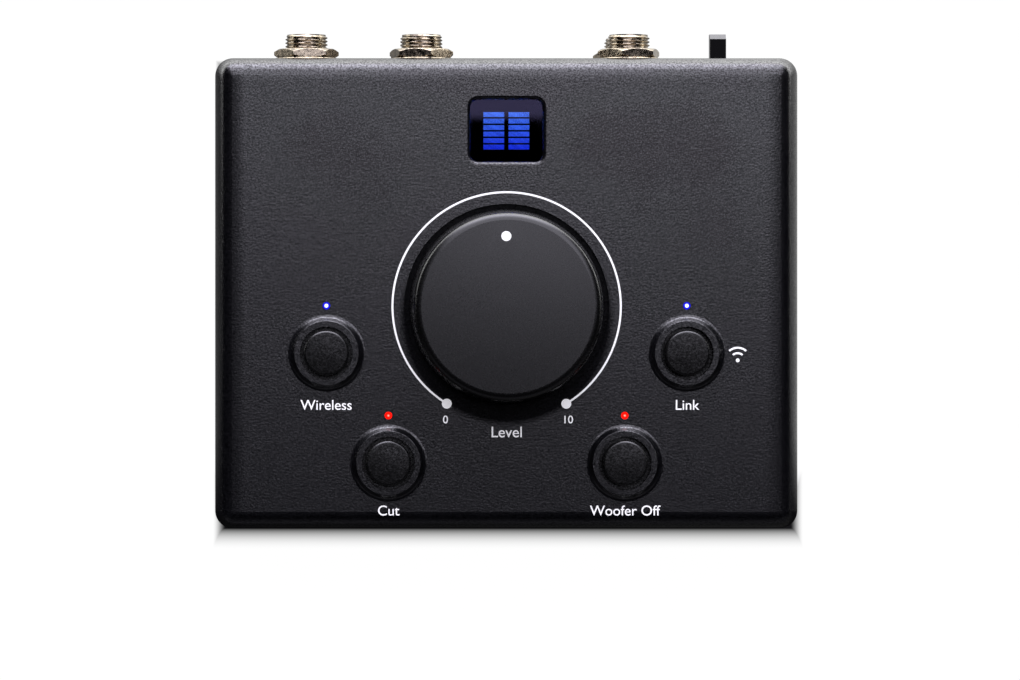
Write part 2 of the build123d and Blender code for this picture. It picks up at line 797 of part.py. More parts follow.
with BuildPart() as display_mask:
    with BuildSketch(Plane.XY.offset(flange_low - mask_thickness)):
        with Locations(display_centre):
            Rectangle(box_width, box_height)
            with GridLocations(bar_pitch_x, bar_pitch_y, meter_columns, meter_rows):
                Rectangle(meter_bar_width + 2 * guide_clearance, meter_bar_height + 2 * guide_clearance,
                          mode=Mode.SUBTRACT)
    extrude(amount=mask_thickness)
save(display_mask, "display_mask")

with BuildPart() as display_light_guides:
    with BuildSketch(Plane.XY.offset(flange_low - mask_thickness)):
        with Locations(display_centre):
            with GridLocations(bar_pitch_x, bar_pitch_y, meter_columns, meter_rows):
                Rectangle(meter_bar_width, meter_bar_height)
    extrude(amount=mask_thickness)
save(display_light_guides, "display_light_guides")

with BuildPart() as display_light_box:
    with BuildSketch(Plane.XY.offset(control_board_top)):
        with Locations(display_centre):
            Rectangle(box_width, box_height)
            Rectangle(box_width - 2 * light_box_wall, box_height - 2 * light_box_wall, mode=Mode.SUBTRACT)
    extrude(amount=flange_low - mask_thickness - control_board_top)
save(display_light_box, "display_light_box")

# ---------------------------------------------------------------- boards

tongue_back = display_centre[1] + box_height / 2 + tongue_margin

with BuildPart() as control_board:
    with BuildSketch(Plane.XY.offset(control_board_bottom)):
        with Locations((0, control_board_front)):
            Rectangle(board_width, control_board_back - control_board_front,
                      align=(Align.CENTER, Align.MIN))
            Rectangle(tongue_width, tongue_back - control_board_front, align=(Align.CENTER, Align.MIN))
    extrude(amount=board_thickness)
    posts(control_bosses, screw_hole_radius, control_board_bottom, control_board_top, Mode.SUBTRACT)
save(control_board, "control_board")


def io_board(depth, bottom):
    """A board that reaches forward from the rear wall, with a hole at each pillar."""
    with BuildPart() as board:
        with BuildSketch(Plane.XY.offset(bottom)):
            with Locations((0, board_back)):
                Rectangle(board_width, depth, align=(Align.CENTER, Align.MAX))
        extrude(amount=board_thickness)
        posts(pillars, screw_hole_radius, bottom, bottom + board_thickness, Mode.SUBTRACT)
    return board


save(io_board(lower_board_depth, lower_board_bottom), "lower_io_board")
save(io_board(upper_board_depth, upper_board_bottom), "upper_io_board")

with BuildPart() as board_spacers:
    posts(pillars, spacer_radius, plate_top, lower_board_bottom)
    posts(pillars, screw_hole_radius, plate_top, lower_board_bottom, Mode.SUBTRACT)
save(board_spacers, "board_spacers")

# Hexagonal pillars between the two rear boards, with a stud down through the lower one
with BuildPart() as board_pillars:
    with BuildSketch(Plane.XY.offset(lower_board_top)):
        with Locations(*pillars):
            RegularPolygon(pillar_size / 2, 6, major_radius=False, rotation=30)
    extrude(amount=upper_board_bottom - lower_board_top)
    posts(pillars, screw_radius, plate_bottom, lower_board_top)
    posts(pillars, screw_hole_radius, upper_board_bottom - screw_hole_depth, upper_board_bottom,
          Mode.SUBTRACT)
save(board_pillars, "board_pillars")

# Pan-head screws: down into the pillars, and up through the control board into the cover's bosses
with BuildPart() as board_screws:
    head_high = upper_board_top + pan_head_height
    head_low = control_board_bottom - pan_head_height
    posts(pillars, screw_radius, upper_board_bottom - screw_grip, upper_board_top)
    posts(pillars, pan_head_radius, upper_board_top, head_high)
    posts(pillars, recess_radius, head_high - recess_depth, head_high, Mode.SUBTRACT)
    posts(control_bosses, screw_radius, control_board_bottom, control_board_top + screw_grip)
    posts(control_bosses, pan_head_radius, head_low, control_board_bottom)
    posts(control_bosses, recess_radius, head_low, head_low + recess_depth, Mode.SUBTRACT)
save(board_screws, "board_screws")

# ---------------------------------------------------------------- jacks

bushing_front = panel_inner - bushing_root_length
bushing_back = panel_outer + thread_reach
cavity_end = jack_front + jack_floor
contact_back = bushing_front - contact_back_gap
contact_front = contact_back - contact_length

for name, (x, z) in jack_places.items():
    with BuildPart() as housing:
        with Locations((x, (jack_front + panel_inner) / 2, z)):
            Box(jack_width, jack_depth, jack_height)
        chamfer(housing.edges().filter_by(Axis.Y), jack_edge_chamfer)
        bars([(x, z)], bushing_root_radius + running_clearance, bushing_front, panel_inner, Mode.SUBTRACT)
        bars([(x, z)], jack_cavity_radius, cavity_end, bushing_front, Mode.SUBTRACT)
        # A pocket on each side for a contact spring, open down to the board
        pocket = contact_pocket_radius - jack_cavity_radius / 2
        for side in (-1, 1):
            beams([(x + side * (contact_pocket_radius + jack_cavity_radius / 2) / 2, z)], pocket,
                  contact_width + 2 * contact_side_gap, contact_front - contact_end_gap,
                  contact_back + contact_end_gap, Mode.SUBTRACT)
            beams([(x + side * (contact_pocket_radius - contact_tail_slot / 2), z - jack_height / 4)],
                  contact_tail_slot, jack_height / 2, contact_front - contact_end_gap,
                  contact_front + contact_tail_length + contact_end_gap, Mode.SUBTRACT)
    save(housing, name)

# Threaded metal bushing: a plain root held in the housing, then a thread to its open end
thread_low = panel_inner + thread_start
thread_turns = int((bushing_back - thread_low - thread_plain_end) / thread_pitch)
with BuildPart() as jack_bushings:
    for x, z in jack_places.values():
        bars([(x, z)], bushing_root_radius, bushing_front, panel_inner)
        with BuildSketch(Plane(origin=(x, 0, z), x_dir=(1, 0, 0), z_dir=(0, 0, 1))):
            with BuildLine():
                crest = thread_radius
                root = thread_radius - thread_depth
                flank = thread_pitch * thread_flank_share
                outline = [(jack_bore_radius / 2, panel_inner), (root, panel_inner)]
                for turn in range(thread_turns):
                    start = thread_low + turn * thread_pitch
                    outline.append((root, start))
                    outline.append((crest, start + flank))
                    outline.append((crest, start + flank + thread_pitch * thread_crest_share))
                outline.append((root, thread_low + thread_turns * thread_pitch))
                outline.append((root, bushing_back))
                outline.append((jack_bore_radius / 2, bushing_back))
                Polyline(*outline, close=True)
            make_face()
        revolve(axis=Axis((x, 0, z), (0, 1, 0)))
    bars(jack_places.values(), jack_bore_radius, bushing_front, bushing_back, Mode.SUBTRACT)
save(jack_bushings, "jack_bushings")

with BuildPart() as jack_washers:
    bars(jack_places.values(), jack_washer_radius, panel_outer, panel_outer + jack_washer_thickness)
    bars(jack_places.values(), thread_radius + running_clearance, panel_outer,
         panel_outer + jack_washer_thickness, Mode.SUBTRACT)
save(jack_washers, "jack_washers")

# Hexagonal nuts, cut from round blanks whose two faces are turned to a shallow cone
nut_low = panel_outer + jack_washer_thickness
nut_corner_radius = jack_nut_size / 2 / cos(pi / 6)
nut_face_radius = jack_nut_size / 2 - nut_face_bevel
nut_bevel_drop = (nut_corner_radius - nut_face_radius) * tan(radians(nut_bevel_angle))
nut_high = nut_low + jack_nut_height
with BuildPart() as nut_blanks:
    for x, z in jack_places.values():
        with BuildSketch(Plane(origin=(x, 0, z), x_dir=(1, 0, 0), z_dir=(0, 0, 1))):
            with BuildLine():
                Polyline(
                    (0, nut_low),
                    (nut_face_radius, nut_low),
                    (nut_corner_radius, nut_low + nut_bevel_drop),
                    (nut_corner_radius, nut_high - nut_bevel_drop),
                    (nut_face_radius, nut_high),
                    (0, nut_high),
                    close=True,
                )
            make_face()
        revolve(axis=Axis((x, 0, z), (0, 1, 0)))
with BuildPart() as jack_nuts:
    for name, (x, z) in jack_places.items():
        corner = radians(nut_turns[name])
        face = Plane(origin=(x, nut_low, z), x_dir=(sin(corner), 0, cos(corner)), z_dir=(0, 1, 0))
        with BuildSketch(face):
            RegularPolygon(jack_nut_size / 2, 6, major_radius=False)
            Circle(thread_radius + running_clearance, mode=Mode.SUBTRACT)
        extrude(amount=jack_nut_height)
    add(nut_blanks.part, mode=Mode.INTERSECT)
save(jack_nuts, "jack_nuts")

# Contact springs: a flat leaf in each pocket with a bump toward the plug and a tail to the board
with BuildPart() as jack_contacts:
    for x, z in jack_places.values():
        for side in (-1, 1):
            leaf = contact_pocket_radius - contact_thickness - contact_side_gap
            middle = (contact_front + contact_back) / 2
            bump_front = middle - contact_bump_length / 2
            bump_back = middle + contact_bump_length / 2
            with BuildSketch(Plane(origin=(x, 0, z - contact_width / 2), x_dir=(side, 0, 0),
                                   z_dir=(0, 0, side))):
                with BuildLine():
                    Polyline((leaf, contact_front), (leaf, bump_front), (leaf - contact_bump, middle),
                             (leaf, bump_back), (leaf, contact_back),
                             (leaf + contact_thickness, contact_back),
                             (leaf + contact_thickness, bump_back),
                             (leaf + contact_thickness - contact_bump, middle),
                             (leaf + contact_thickness, bump_front),
                             (leaf + contact_thickness, contact_front), close=True)
                make_face()
            extrude(amount=side * contact_width)
            beams([(x + side * (leaf + contact_thickness / 2), z - jack_height / 4)], contact_thickness,
                  jack_height / 2, contact_front, contact_front + contact_tail_length)
save(jack_contacts, "jack_contacts")

# ---------------------------------------------------------------- aux socket and power inlet

with BuildPart() as aux_socket:
    beams([(aux_x, aux_z)], aux_width, aux_height, panel_inner - aux_depth, panel_inner)
    bars([(aux_x, aux_z)], aux_bore_radius + aux_cavity_gap, panel_inner - aux_depth + aux_floor,
         panel_inner, Mode.SUBTRACT)
    bars([(aux_x, aux_z)], aux_bore_radius + aux_barrel_wall + running_clearance,
         panel_inner - aux_barrel_root, panel_inner, Mode.SUBTRACT)
save(aux_socket, "aux_socket")

with BuildPart() as aux_barrel:
    bars([(aux_x, aux_z)], aux_bore_radius + aux_barrel_wall, panel_inner - aux_barrel_root, panel_inner)
    bars([(aux_x, aux_z)], aux_barrel_radius, panel_inner, panel_outer)
    bars([(aux_x, aux_z)], aux_bore_radius, panel_inner - aux_barrel_root, panel_outer, Mode.SUBTRACT)
save(aux_barrel, "aux_barrel")

with BuildPart() as power_inlet:
    with Locations((inlet_x, panel_inner - inlet_depth / 2, lower_board_top)):
        Box(inlet_width, inlet_depth, inlet_height, align=ON_BASE)
    bars([(inlet_x, inlet_z)], inlet_collar_radius, panel_inner, panel_outer)
    bars([(inlet_x, inlet_z)], inlet_bore_radius, panel_outer - inlet_bore_depth, panel_outer, Mode.SUBTRACT)
save(power_inlet, "power_inlet")

with BuildPart() as power_inlet_pin:
    bars([(inlet_x, inlet_z)], inlet_pin_radius, panel_outer - inlet_bore_depth,
         panel_outer - inlet_pin_setback)
    fillet(power_inlet_pin.edges().filter_by(GeomType.CIRCLE).sort_by(Axis.Y)[-1], inlet_pin_radius / 2)
save(power_inlet_pin, "power_inlet_pin")

# ---------------------------------------------------------------- power button

power_place = [(power_switch_x, power_switch_z)]
power_tip = panel_outer + power_button_reach
power_tail = panel_inner - power_button_tail
switch_front = panel_inner - power_switch_setback

with BuildPart() as power_button:
    beams(power_place, power_button_size, power_button_size, power_tail, power_tip)
    ends = power_button.faces().sort_by(Axis.Y)[-1].edges()
    chamfer(ends.sort_by(Axis.Z)[-1], power_button_chamfer)
    beams(power_place, slider_size + 2 * running_clearance, slider_size + 2 * running_clearance,
          power_tail, power_tail + slider_socket_depth, Mode.SUBTRACT)
save(power_button, "power_button")

slider_end = switch_front - power_switch_depth / 2
with BuildPart() as power_switch_slider:
    beams(power_place, slider_size, slider_size, slider_end, power_tail + slider_socket_depth)
save(power_switch_slider, "power_switch_slider")

with BuildPart() as power_switch_body:
    beams(power_place, power_switch_width, power_switch_height, switch_front - power_switch_depth,
          switch_front)
    beams(power_place, slider_size + 2 * slider_clearance, slider_size + 2 * slider_clearance,
          slider_end - power_button_travel - slider_end_gap, switch_front, Mode.SUBTRACT)
save(power_switch_body, "power_switch_body")

# ---------------------------------------------------------------- ribbon cable and board link

connector_back = control_board_back - connector_inset
connector_front = connector_back - connector_depth
connector_width = ribbon_width + 2 * connector_margin
cable_low = upper_board_top + connector_height / 2
cable_high = control_board_bottom - connector_height / 2

with BuildPart() as ribbon_connectors:
    middle = (connector_front + connector_back) / 2
    blocks([(ribbon_x, middle)], connector_width, connector_depth, upper_board_top,
           upper_board_top + connector_height)
    blocks([(ribbon_x, middle)], connector_width, connector_depth,
           control_board_bottom - connector_height, control_board_bottom)
save(ribbon_connectors, "ribbon_connectors")

# The cable leaves one connector to the front and turns up and back into the other
with BuildPart() as ribbon_cable:
    turn_radius = (cable_high - cable_low) / 2
    turn_y = connector_front - ribbon_loop + turn_radius
    with BuildSketch(Plane(origin=(ribbon_x - ribbon_width / 2, 0, 0), x_dir=(0, 1, 0), z_dir=(1, 0, 0))):
        with BuildLine():
            for half in (turn_radius - ribbon_thickness / 2, turn_radius + ribbon_thickness / 2):
                mid_z = (cable_low + cable_high) / 2
                Line((connector_front, mid_z - half), (turn_y, mid_z - half))
                ThreePointArc((turn_y, mid_z - half), (turn_y - half, mid_z), (turn_y, mid_z + half))
                Line((turn_y, mid_z + half), (connector_front, mid_z + half))
            Line((connector_front, cable_low - ribbon_thickness / 2),
                 (connector_front, cable_low + ribbon_thickness / 2))
            Line((connector_front, cable_high - ribbon_thickness / 2),
                 (connector_front, cable_high + ribbon_thickness / 2))
        make_face()
    extrude(amount=ribbon_width)
save(ribbon_cable, "ribbon_cable")

link_y = board_back - link_inset
with BuildPart() as link_header:
    blocks([(link_x, link_y)], link_length, link_width, lower_board_top, lower_board_top + link_body_height)
    with Locations((link_x, link_y, lower_board_top)):
        with GridLocations(link_length / link_pin_count, 1, link_pin_count, 1):
            Cylinder(link_pin_radius + link_pin_clearance, link_body_height, align=ON_BASE,
                     mode=Mode.SUBTRACT)
save(link_header, "link_header")

with BuildPart() as link_pins:
    with Locations((link_x, link_y, lower_board_top)):
        with GridLocations(link_length / link_pin_count, 1, link_pin_count, 1):
            Cylinder(link_pin_radius, upper_board_bottom - lower_board_top, align=ON_BASE)
save(link_pins, "link_pins")

# ---------------------------------------------------------------- chips and radio module

upper_chips = [(aux_x, board_back - aux_chip_inset),
               (driver_chip_x - driver_chip_spacing / 2, board_back - driver_chip_inset),
               (driver_chip_x + driver_chip_spacing / 2, board_back - driver_chip_inset),
               (input_x, board_back - input_chip_inset)]
lower_chips = [(regulator_x - regulator_spacing / 2, board_back - regulator_inset),
               (regulator_x + regulator_spacing / 2, board_back - regulator_inset)]
with BuildPart() as signal_chips:
    blocks(upper_chips, chip_length, chip_width, upper_board_top, upper_board_top + chip_height)
    blocks(lower_chips, chip_length, chip_width, lower_board_top, lower_board_top + chip_height)
save(signal_chips, "signal_chips")

with BuildPart() as supply_capacitors:
    capacitor_pitch = 2 * capacitor_radius + capacitor_gap
    with Locations((inlet_x - capacitor_from_inlet, board_back - capacitor_inset, lower_board_top)):
        with GridLocations(capacitor_pitch, capacitor_pitch, 2, capacitor_count // 2):
            Cylinder(capacitor_radius, capacitor_height, align=ON_BASE)
save(supply_capacitors, "supply_capacitors")

module_place = [(0, board_back - module_inset)]
with BuildPart() as wireless_module:
    blocks(module_place, module_width, module_depth, lower_board_top, lower_board_top + module_thickness)
save(wireless_module, "wireless_module")

module_top = lower_board_top + module_thickness
with BuildPart() as wireless_shield:
    blocks(module_place, shield_width, shield_depth, module_top, module_top + shield_height)
    blocks(module_place, shield_width - 2 * shield_wall, shield_depth - 2 * shield_wall, module_top,
           module_top + shield_height - shield_wall, Mode.SUBTRACT)
save(wireless_shield, "wireless_shield")
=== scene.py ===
from math import cos, degrees, pi, radians, sin, tan

import bmesh
import bpy
from mathutils import Matrix, Vector


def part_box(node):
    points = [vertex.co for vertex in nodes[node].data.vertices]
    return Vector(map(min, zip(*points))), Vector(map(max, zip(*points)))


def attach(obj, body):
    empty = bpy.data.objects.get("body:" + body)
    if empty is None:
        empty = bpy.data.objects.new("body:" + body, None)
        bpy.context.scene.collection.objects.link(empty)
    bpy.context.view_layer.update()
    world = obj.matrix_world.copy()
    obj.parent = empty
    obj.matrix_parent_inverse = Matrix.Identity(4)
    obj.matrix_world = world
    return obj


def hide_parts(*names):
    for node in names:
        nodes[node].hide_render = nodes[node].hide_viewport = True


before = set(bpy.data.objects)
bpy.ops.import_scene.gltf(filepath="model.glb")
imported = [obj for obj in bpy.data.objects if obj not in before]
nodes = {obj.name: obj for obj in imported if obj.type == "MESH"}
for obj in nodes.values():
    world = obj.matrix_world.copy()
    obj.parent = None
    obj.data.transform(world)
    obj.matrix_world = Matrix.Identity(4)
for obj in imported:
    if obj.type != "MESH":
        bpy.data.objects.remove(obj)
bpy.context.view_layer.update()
MM = 0.001

# ---------------------------------------------------------------- bottom of the box
# The base plate is sheet steel, blanked and black powder coated. It closes the cover from below and
# carries the boards. Powder coat gives a satin black skin with a slight orange peel.


def linear(colour):
    """An sRGB hex colour as the linear RGBA that a shader takes."""
    parts = [int(colour[i:i + 2], 16) / 255 for i in (1, 3, 5)]
    return [c / 12.92 if c <= 0.04045 else ((c + 0.055) / 1.055) ** 2.4 for c in parts] + [1.0]


def add(tree, kind, inputs=None, **settings):
    """Adds a node with its settings. Each input takes a value, or the output that feeds it."""
    node = tree.nodes.new("ShaderNode" + kind)
    for name, value in settings.items():
        setattr(node, name, value)
    for socket, value in (inputs or {}).items():
        if isinstance(value, bpy.types.NodeSocket):
            tree.links.new(value, node.inputs[socket])
        else:
            node.inputs[socket].default_value = value
    return node


def ramp(tree, value, start, end, low=0.0, high=1.0, smooth=False):
    """A value turned into another range: low where it is start, high where it is end, held beyond."""
    node = add(tree, "MapRange", {"Value": value, "From Min": start, "From Max": end, "To Min": low,
                                  "To Max": high})
    if smooth:
        node.interpolation_type = "SMOOTHSTEP"
    return node.outputs[0]


def calc(tree, operation, *values):
    """The result of one operation on up to three values."""
    return add(tree, "Math", dict(enumerate(values)), operation=operation).outputs[0]


def spot(tree):
    """The place on the skin, in the CAD frame."""
    return add(tree, "TexCoord").outputs["Object"]


def noise(tree, size, detail=2.0):
    """Noise with features of a size in millimetres."""
    cloud = add(tree, "TexNoise", {"Vector": spot(tree), "Scale": 1 / (size * MM), "Detail": detail})
    return cloud.outputs[0]


def new_finish(name, **constants):
    """A new material with its shader's own constants set. Underlines in their names are spaces."""
    material = bpy.data.materials.new(name)
    material.use_nodes = True
    shader = material.node_tree.nodes["Principled BSDF"]
    for constant, value in constants.items():
        shader.inputs[constant.replace("_", " ")].default_value = value
    return material, material.node_tree, shader


def mottle(tree, shader, dark, light, size, roughness=None, detail=3.0):
    """Cloudy variation between two colours, in patches of a size in millimetres, and of the gloss."""
    cloud = noise(tree, size, detail)
    mixed = add(tree, "Mix", {0: ramp(tree, cloud, 0.3, 0.7), 6: linear(dark), 7: linear(light)},
                data_type="RGBA")
    tree.links.new(mixed.outputs[2], shader.inputs["Base Color"])
    if roughness:
        tree.links.new(ramp(tree, cloud, 0.3, 0.7, *roughness), shader.inputs["Roughness"])
    return cloud


def grain(tree, shader, *layers, normal=None):
    """Bumps in layers, each of a size and a depth in millimetres, on top of each other and of a normal."""
    for size, depth in layers:
        bump = add(tree, "Bump", {"Height": noise(tree, size), "Distance": depth * MM})
        if normal:
            tree.links.new(normal, bump.inputs["Normal"])
        normal = bump.outputs["Normal"]
    tree.links.new(normal, shader.inputs["Normal"])


def shine(tree, shader, share, matt=0.04, grit_size=None):
    """Keeps the shine where a share is 1, and matt where it is 0, speckled by grit of a size in mm."""
    level = ramp(tree, share, 0.0, 1.0, matt, 0.5)
    if grit_size:
        grit = ramp(tree, noise(tree, grit_size), 0.38, 0.62, 0.5, 1.5)
        level = calc(tree, "MULTIPLY", level, grit)
    tree.links.new(level, shader.inputs["Specular IOR Level"])


def coat(piece, material):
    """Gives a piece one finish all over."""
    piece.data.materials.clear()
    piece.data.materials.append(material)


def powder_coated_steel():
    """Satin black powder coat on steel sheet: soft highlights broken up by orange peel."""
    material, tree, shader = new_finish("powder_coated_steel", IOR=1.5)
    mottle(tree, shader, "#1a1a1b", "#222223", 6.0, roughness=(0.38, 0.5))
    grain(tree, shader, (0.9, 0.02), (0.25, 0.006))
    return material


powder_coat = powder_coated_steel()
coat(nodes["base_plate"], powder_coat)

# ---------------------------------------------------------------- feet
# Four moulded rubber feet, glued under the plate's corners. Rubber is dull black and picks up dust,
# so it looks a little grey and has no sharp highlight.


def moulded_rubber():
    """Nitrile rubber from a blasted mould: matt, with a dusty grey bloom."""
    material, tree, shader = new_finish("moulded_rubber", Roughness=0.85, Specular_IOR_Level=0.35)
    mottle(tree, shader, "#161616", "#252524", 1.4)
    grain(tree, shader, (0.3, 0.02))
    return material


coat(nodes["rubber_feet"], moulded_rubber())

# ---------------------------------------------------------------- case screws
# Countersunk M3 screws, cold headed from steel with a cross recess, black zinc plated. Four hold the
# base plate and four the rear panel.
head_radius = 2.9
head_height = 1.5
shank_radius = 1.45
recess_span = 1.7
recess_arm = 0.52
recess_depth = 1.05
recess_above = 0.3
recess_narrowing = 0.45
recess_thinning = 0.7
head_bevel = 0.15
head_bevel_drop = 0.12
point_bevel = 0.5


def new_piece(name, mesh):
    """A named piece from a bmesh, linked into the scene."""
    data = bpy.data.meshes.new(name)
    mesh.to_mesh(data)
    mesh.free()
    piece = bpy.data.objects.new(name, data)
    bpy.context.scene.collection.objects.link(piece)
    return piece


def smooth_below(piece, angle=35):
    """Smooth shading, with edges kept sharp where the faces meet at more than an angle in degrees."""
    mesh = bmesh.new()
    mesh.from_mesh(piece.data)
    for face in mesh.faces:
        face.smooth = True
    for edge in mesh.edges:
        edge.smooth = len(edge.link_faces) == 2 and edge.calc_face_angle(0) < radians(angle)
    mesh.to_mesh(piece.data)
    mesh.free()


def lathe(mesh, profile, segments=64, place=Matrix.Identity(4)):
    """Turns a profile of (radius, height) points in millimetres about Z, into an open or closed skin."""
    rings = []
    for radius, height in profile:
        if radius == 0:
            rings.append([mesh.verts.new(place @ Vector((0, 0, height * MM)))])
            continue
        turns = [2 * pi * i / segments for i in range(segments)]
        points = [Vector((radius * cos(a) * MM, radius * sin(a) * MM, height * MM)) for a in turns]
        rings.append([mesh.verts.new(place @ point) for point in points])
    for lower, upper in zip(rings, rings[1:]):
        for i in range(segments):
            j = (i + 1) % segments
            corners = [lower[i % len(lower)], lower[j % len(lower)],
                       upper[j % len(upper)], upper[i % len(upper)]]
            mesh.faces.new(list(dict.fromkeys(corners)))


def cross_screw(mesh, place, length):
    """One screw, its head's face at z = 0 and its point along -Z, with a tapered cross in the head."""
    body = bmesh.new()
    lathe(body, [(0, 0), (head_radius - head_bevel, 0), (head_radius, -head_bevel_drop),
                 (shank_radius, -head_height), (shank_radius, -length + point_bevel),
                 (shank_radius - point_bevel, -length), (0, -length)], 48)
    head = new_piece("screw_blank", body)
    tool = bmesh.new()
    for turn in (0, pi / 2):
        arm = bmesh.ops.create_cube(tool, size=1)["verts"]
        for corner in arm:
            deep = corner.co.z < 0
            corner.co.x *= 2 * recess_span * (recess_narrowing if deep else 1.0) * MM
            corner.co.y *= recess_arm * (recess_thinning if deep else 1.0) * MM
            corner.co.z = (-recess_depth if deep else recess_above) * MM
        bmesh.ops.rotate(tool, verts=arm, matrix=Matrix.Rotation(turn, 3, "Z"))
    cutter = new_piece("screw_cross", tool)
    cut = head.modifiers.new("cross", "BOOLEAN")
    cut.operation = "DIFFERENCE"
    cut.object = cutter
    cut.use_self = True
    result = bpy.data.meshes.new_from_object(head.evaluated_get(bpy.context.evaluated_depsgraph_get()))
    result.transform(place)
    mesh.from_mesh(result)
    for used in (head, cutter):
        bpy.data.objects.remove(used)


def black_zinc_steel():
    """Black zinc on cold headed steel: dark, half glossy and a little cloudy."""
    material, tree, shader = new_finish("black_zinc_steel", Metallic=1.0)
    mottle(tree, shader, "#2c2d30", "#4a4b4e", 0.8, roughness=(0.28, 0.45))
    grain(tree, shader, (0.2, 0.006))
    return material


def islands(node):
    """The lowest and the highest corner of each separate solid of a node."""
    mesh = bmesh.new()
    mesh.from_mesh(nodes[node].data)
    bmesh.ops.remove_doubles(mesh, verts=mesh.verts, dist=1e-6)
    left = set(mesh.verts)
    boxes = []
    while left:
        stack = [left.pop()]
        found = list(stack)
        while stack:
            for edge in stack.pop().link_edges:
                for vert in edge.verts:
                    if vert in left:
                        left.remove(vert)
                        stack.append(vert)
                        found.append(vert)
        lows = [min(v.co[i] for v in found) for i in range(3)]
        highs = [max(v.co[i] for v in found) for i in range(3)]
        boxes.append((Vector(lows), Vector(highs)))
    mesh.free()
    return sorted(boxes, key=lambda box: tuple(round(c, 5) for c in box[0]))


screw_finish = black_zinc_steel()
for node, facing in (("base_screws", Matrix.Rotation(pi, 4, "X")),
                     ("rear_panel_screws", Matrix.Rotation(-pi / 2, 4, "X"))):
    screws = bmesh.new()
    for number, (low, high) in enumerate(islands(node)):
        middle = (low + high) / 2
        if node == "base_screws":
            seat = Vector((middle.x, middle.y, low.z))
            length = (high.z - low.z) / MM
        else:
            seat = Vector((middle.x, high.y, middle.z))
            length = (high.y - low.y) / MM
        turned = Matrix.Rotation(radians(23 + 31 * number), 4, "Z")
        cross_screw(screws, Matrix.Translation(seat) @ facing @ turned, length)
    piece = new_piece(node.replace("screws", "cross_screws"), screws)
    smooth_below(piece)
    coat(piece, screw_finish)
    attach(piece, "root")
    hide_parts(node)

# ---------------------------------------------------------------- boards
# Fibreglass boards, routed to shape, with green solder mask over copper tracks. They sit on turned
# brass spacers and hexagonal pillars, and are held with small pan-head screws.


def solder_mask_board():
    """Green solder mask on glass laminate: glossy, with tracks showing as slightly raised lines."""
    material, tree, shader = new_finish("solder_mask_board", Roughness=0.25, Coat_Weight=0.3)
    tracks = add(tree, "TexBrick", {"Vector": spot(tree), "Scale": 1 / (9 * MM), "Mortar Size": 0.035,
                                    "Color1": linear("#0d3f22"), "Color2": linear("#0f4827"),
                                    "Mortar": linear("#2a7a45")}, offset=0.37, squash=0.6)
    tree.links.new(tracks.outputs["Color"], shader.inputs["Base Color"])
    raised = add(tree, "Bump", {"Height": tracks.outputs["Fac"], "Distance": 0.03 * MM})
    tree.links.new(raised.outputs["Normal"], shader.inputs["Normal"])
    return material


def wave_scale(period):
    """The scale that gives a wave texture a period in millimetres."""
    return pi / 10 / (period * MM)


def turned_brass():
    """Free-cutting brass off the lathe: warm yellow metal with fine rings from the tool."""
    material, tree, shader = new_finish("turned_brass", Metallic=1.0)
    mottle(tree, shader, "#b08d4a", "#cfae6a", 2.0, roughness=(0.22, 0.38))
    rings = add(tree, "TexWave", {"Vector": spot(tree), "Scale": wave_scale(0.4)}, bands_direction="Z")
    marks = add(tree, "Bump", {"Height": rings.outputs["Fac"], "Distance": 0.004 * MM})
    tree.links.new(marks.outputs["Normal"], shader.inputs["Normal"])
    return material


def bright_zinc_steel():
    """Bright zinc plate on steel: cool silver, slightly cloudy."""
    material, tree, shader = new_finish("bright_zinc_steel", Metallic=1.0)
    mottle(tree, shader, "#a4a8ae", "#c3c6ca", 1.0, roughness=(0.25, 0.4))
    grain(tree, shader, (0.25, 0.004))
    return material


mask = solder_mask_board()
brass = turned_brass()
zinc = bright_zinc_steel()
for node in ("lower_io_board", "upper_io_board", "control_board"):
    coat(nodes[node], mask)
for node in ("board_spacers", "board_pillars", "pot_bushing"):
    coat(nodes[node], brass)
for node in ("board_screws", "pot_washer"):
    coat(nodes[node], zinc)

# ---------------------------------------------------------------- parts on the boards
# Moulded chips, capacitor cans, the radio module under its tin shield, the pin header that links the
# two rear boards, and the ribbon cable with its connectors. All are bought parts.


def moulded_plastic(name, dark, light, roughness, grain_size, grain_depth):
    """An injection moulded part. The mould's eroded skin gives a fine even grain and soft highlights."""
    material, tree, shader = new_finish(name, IOR=1.53)
    mottle(tree, shader, dark, light, 3.0, roughness=roughness)
    grain(tree, shader, (grain_size, grain_depth))
    return material


def drawn_metal(name, dark, light, direction, roughness=(0.25, 0.4)):
    """Drawn or rolled metal, with faint even lines that cross one direction."""
    material, tree, shader = new_finish(name, Metallic=1.0)
    mottle(tree, shader, dark, light, 1.5, roughness=roughness)
    lines = add(tree, "TexWave", {"Vector": spot(tree), "Scale": wave_scale(0.6), "Distortion": 2.0},
                bands_direction=direction)
    marks = add(tree, "Bump", {"Height": lines.outputs["Fac"], "Distance": 0.003 * MM})
    tree.links.new(marks.outputs["Normal"], shader.inputs["Normal"])
    return material


def ribbon_pvc():
    """Grey vinyl ribbon cable: a row of round cores 1.27 mm apart shows as ridges along it."""
    material, tree, shader = new_finish("ribbon_pvc", Roughness=0.5)
    cores = add(tree, "TexWave", {"Vector": spot(tree), "Scale": wave_scale(1.27)}, bands_direction="X")
    mixed = add(tree, "Mix", {0: cores.outputs["Fac"], 6: linear("#6f7072"), 7: linear("#a3a4a6")},
                data_type="RGBA")
    tree.links.new(mixed.outputs[2], shader.inputs["Base Color"])
    ridges = add(tree, "Bump", {"Height": cores.outputs["Fac"], "Distance": 0.15 * MM})
    tree.links.new(ridges.outputs["Normal"], shader.inputs["Normal"])
    return material


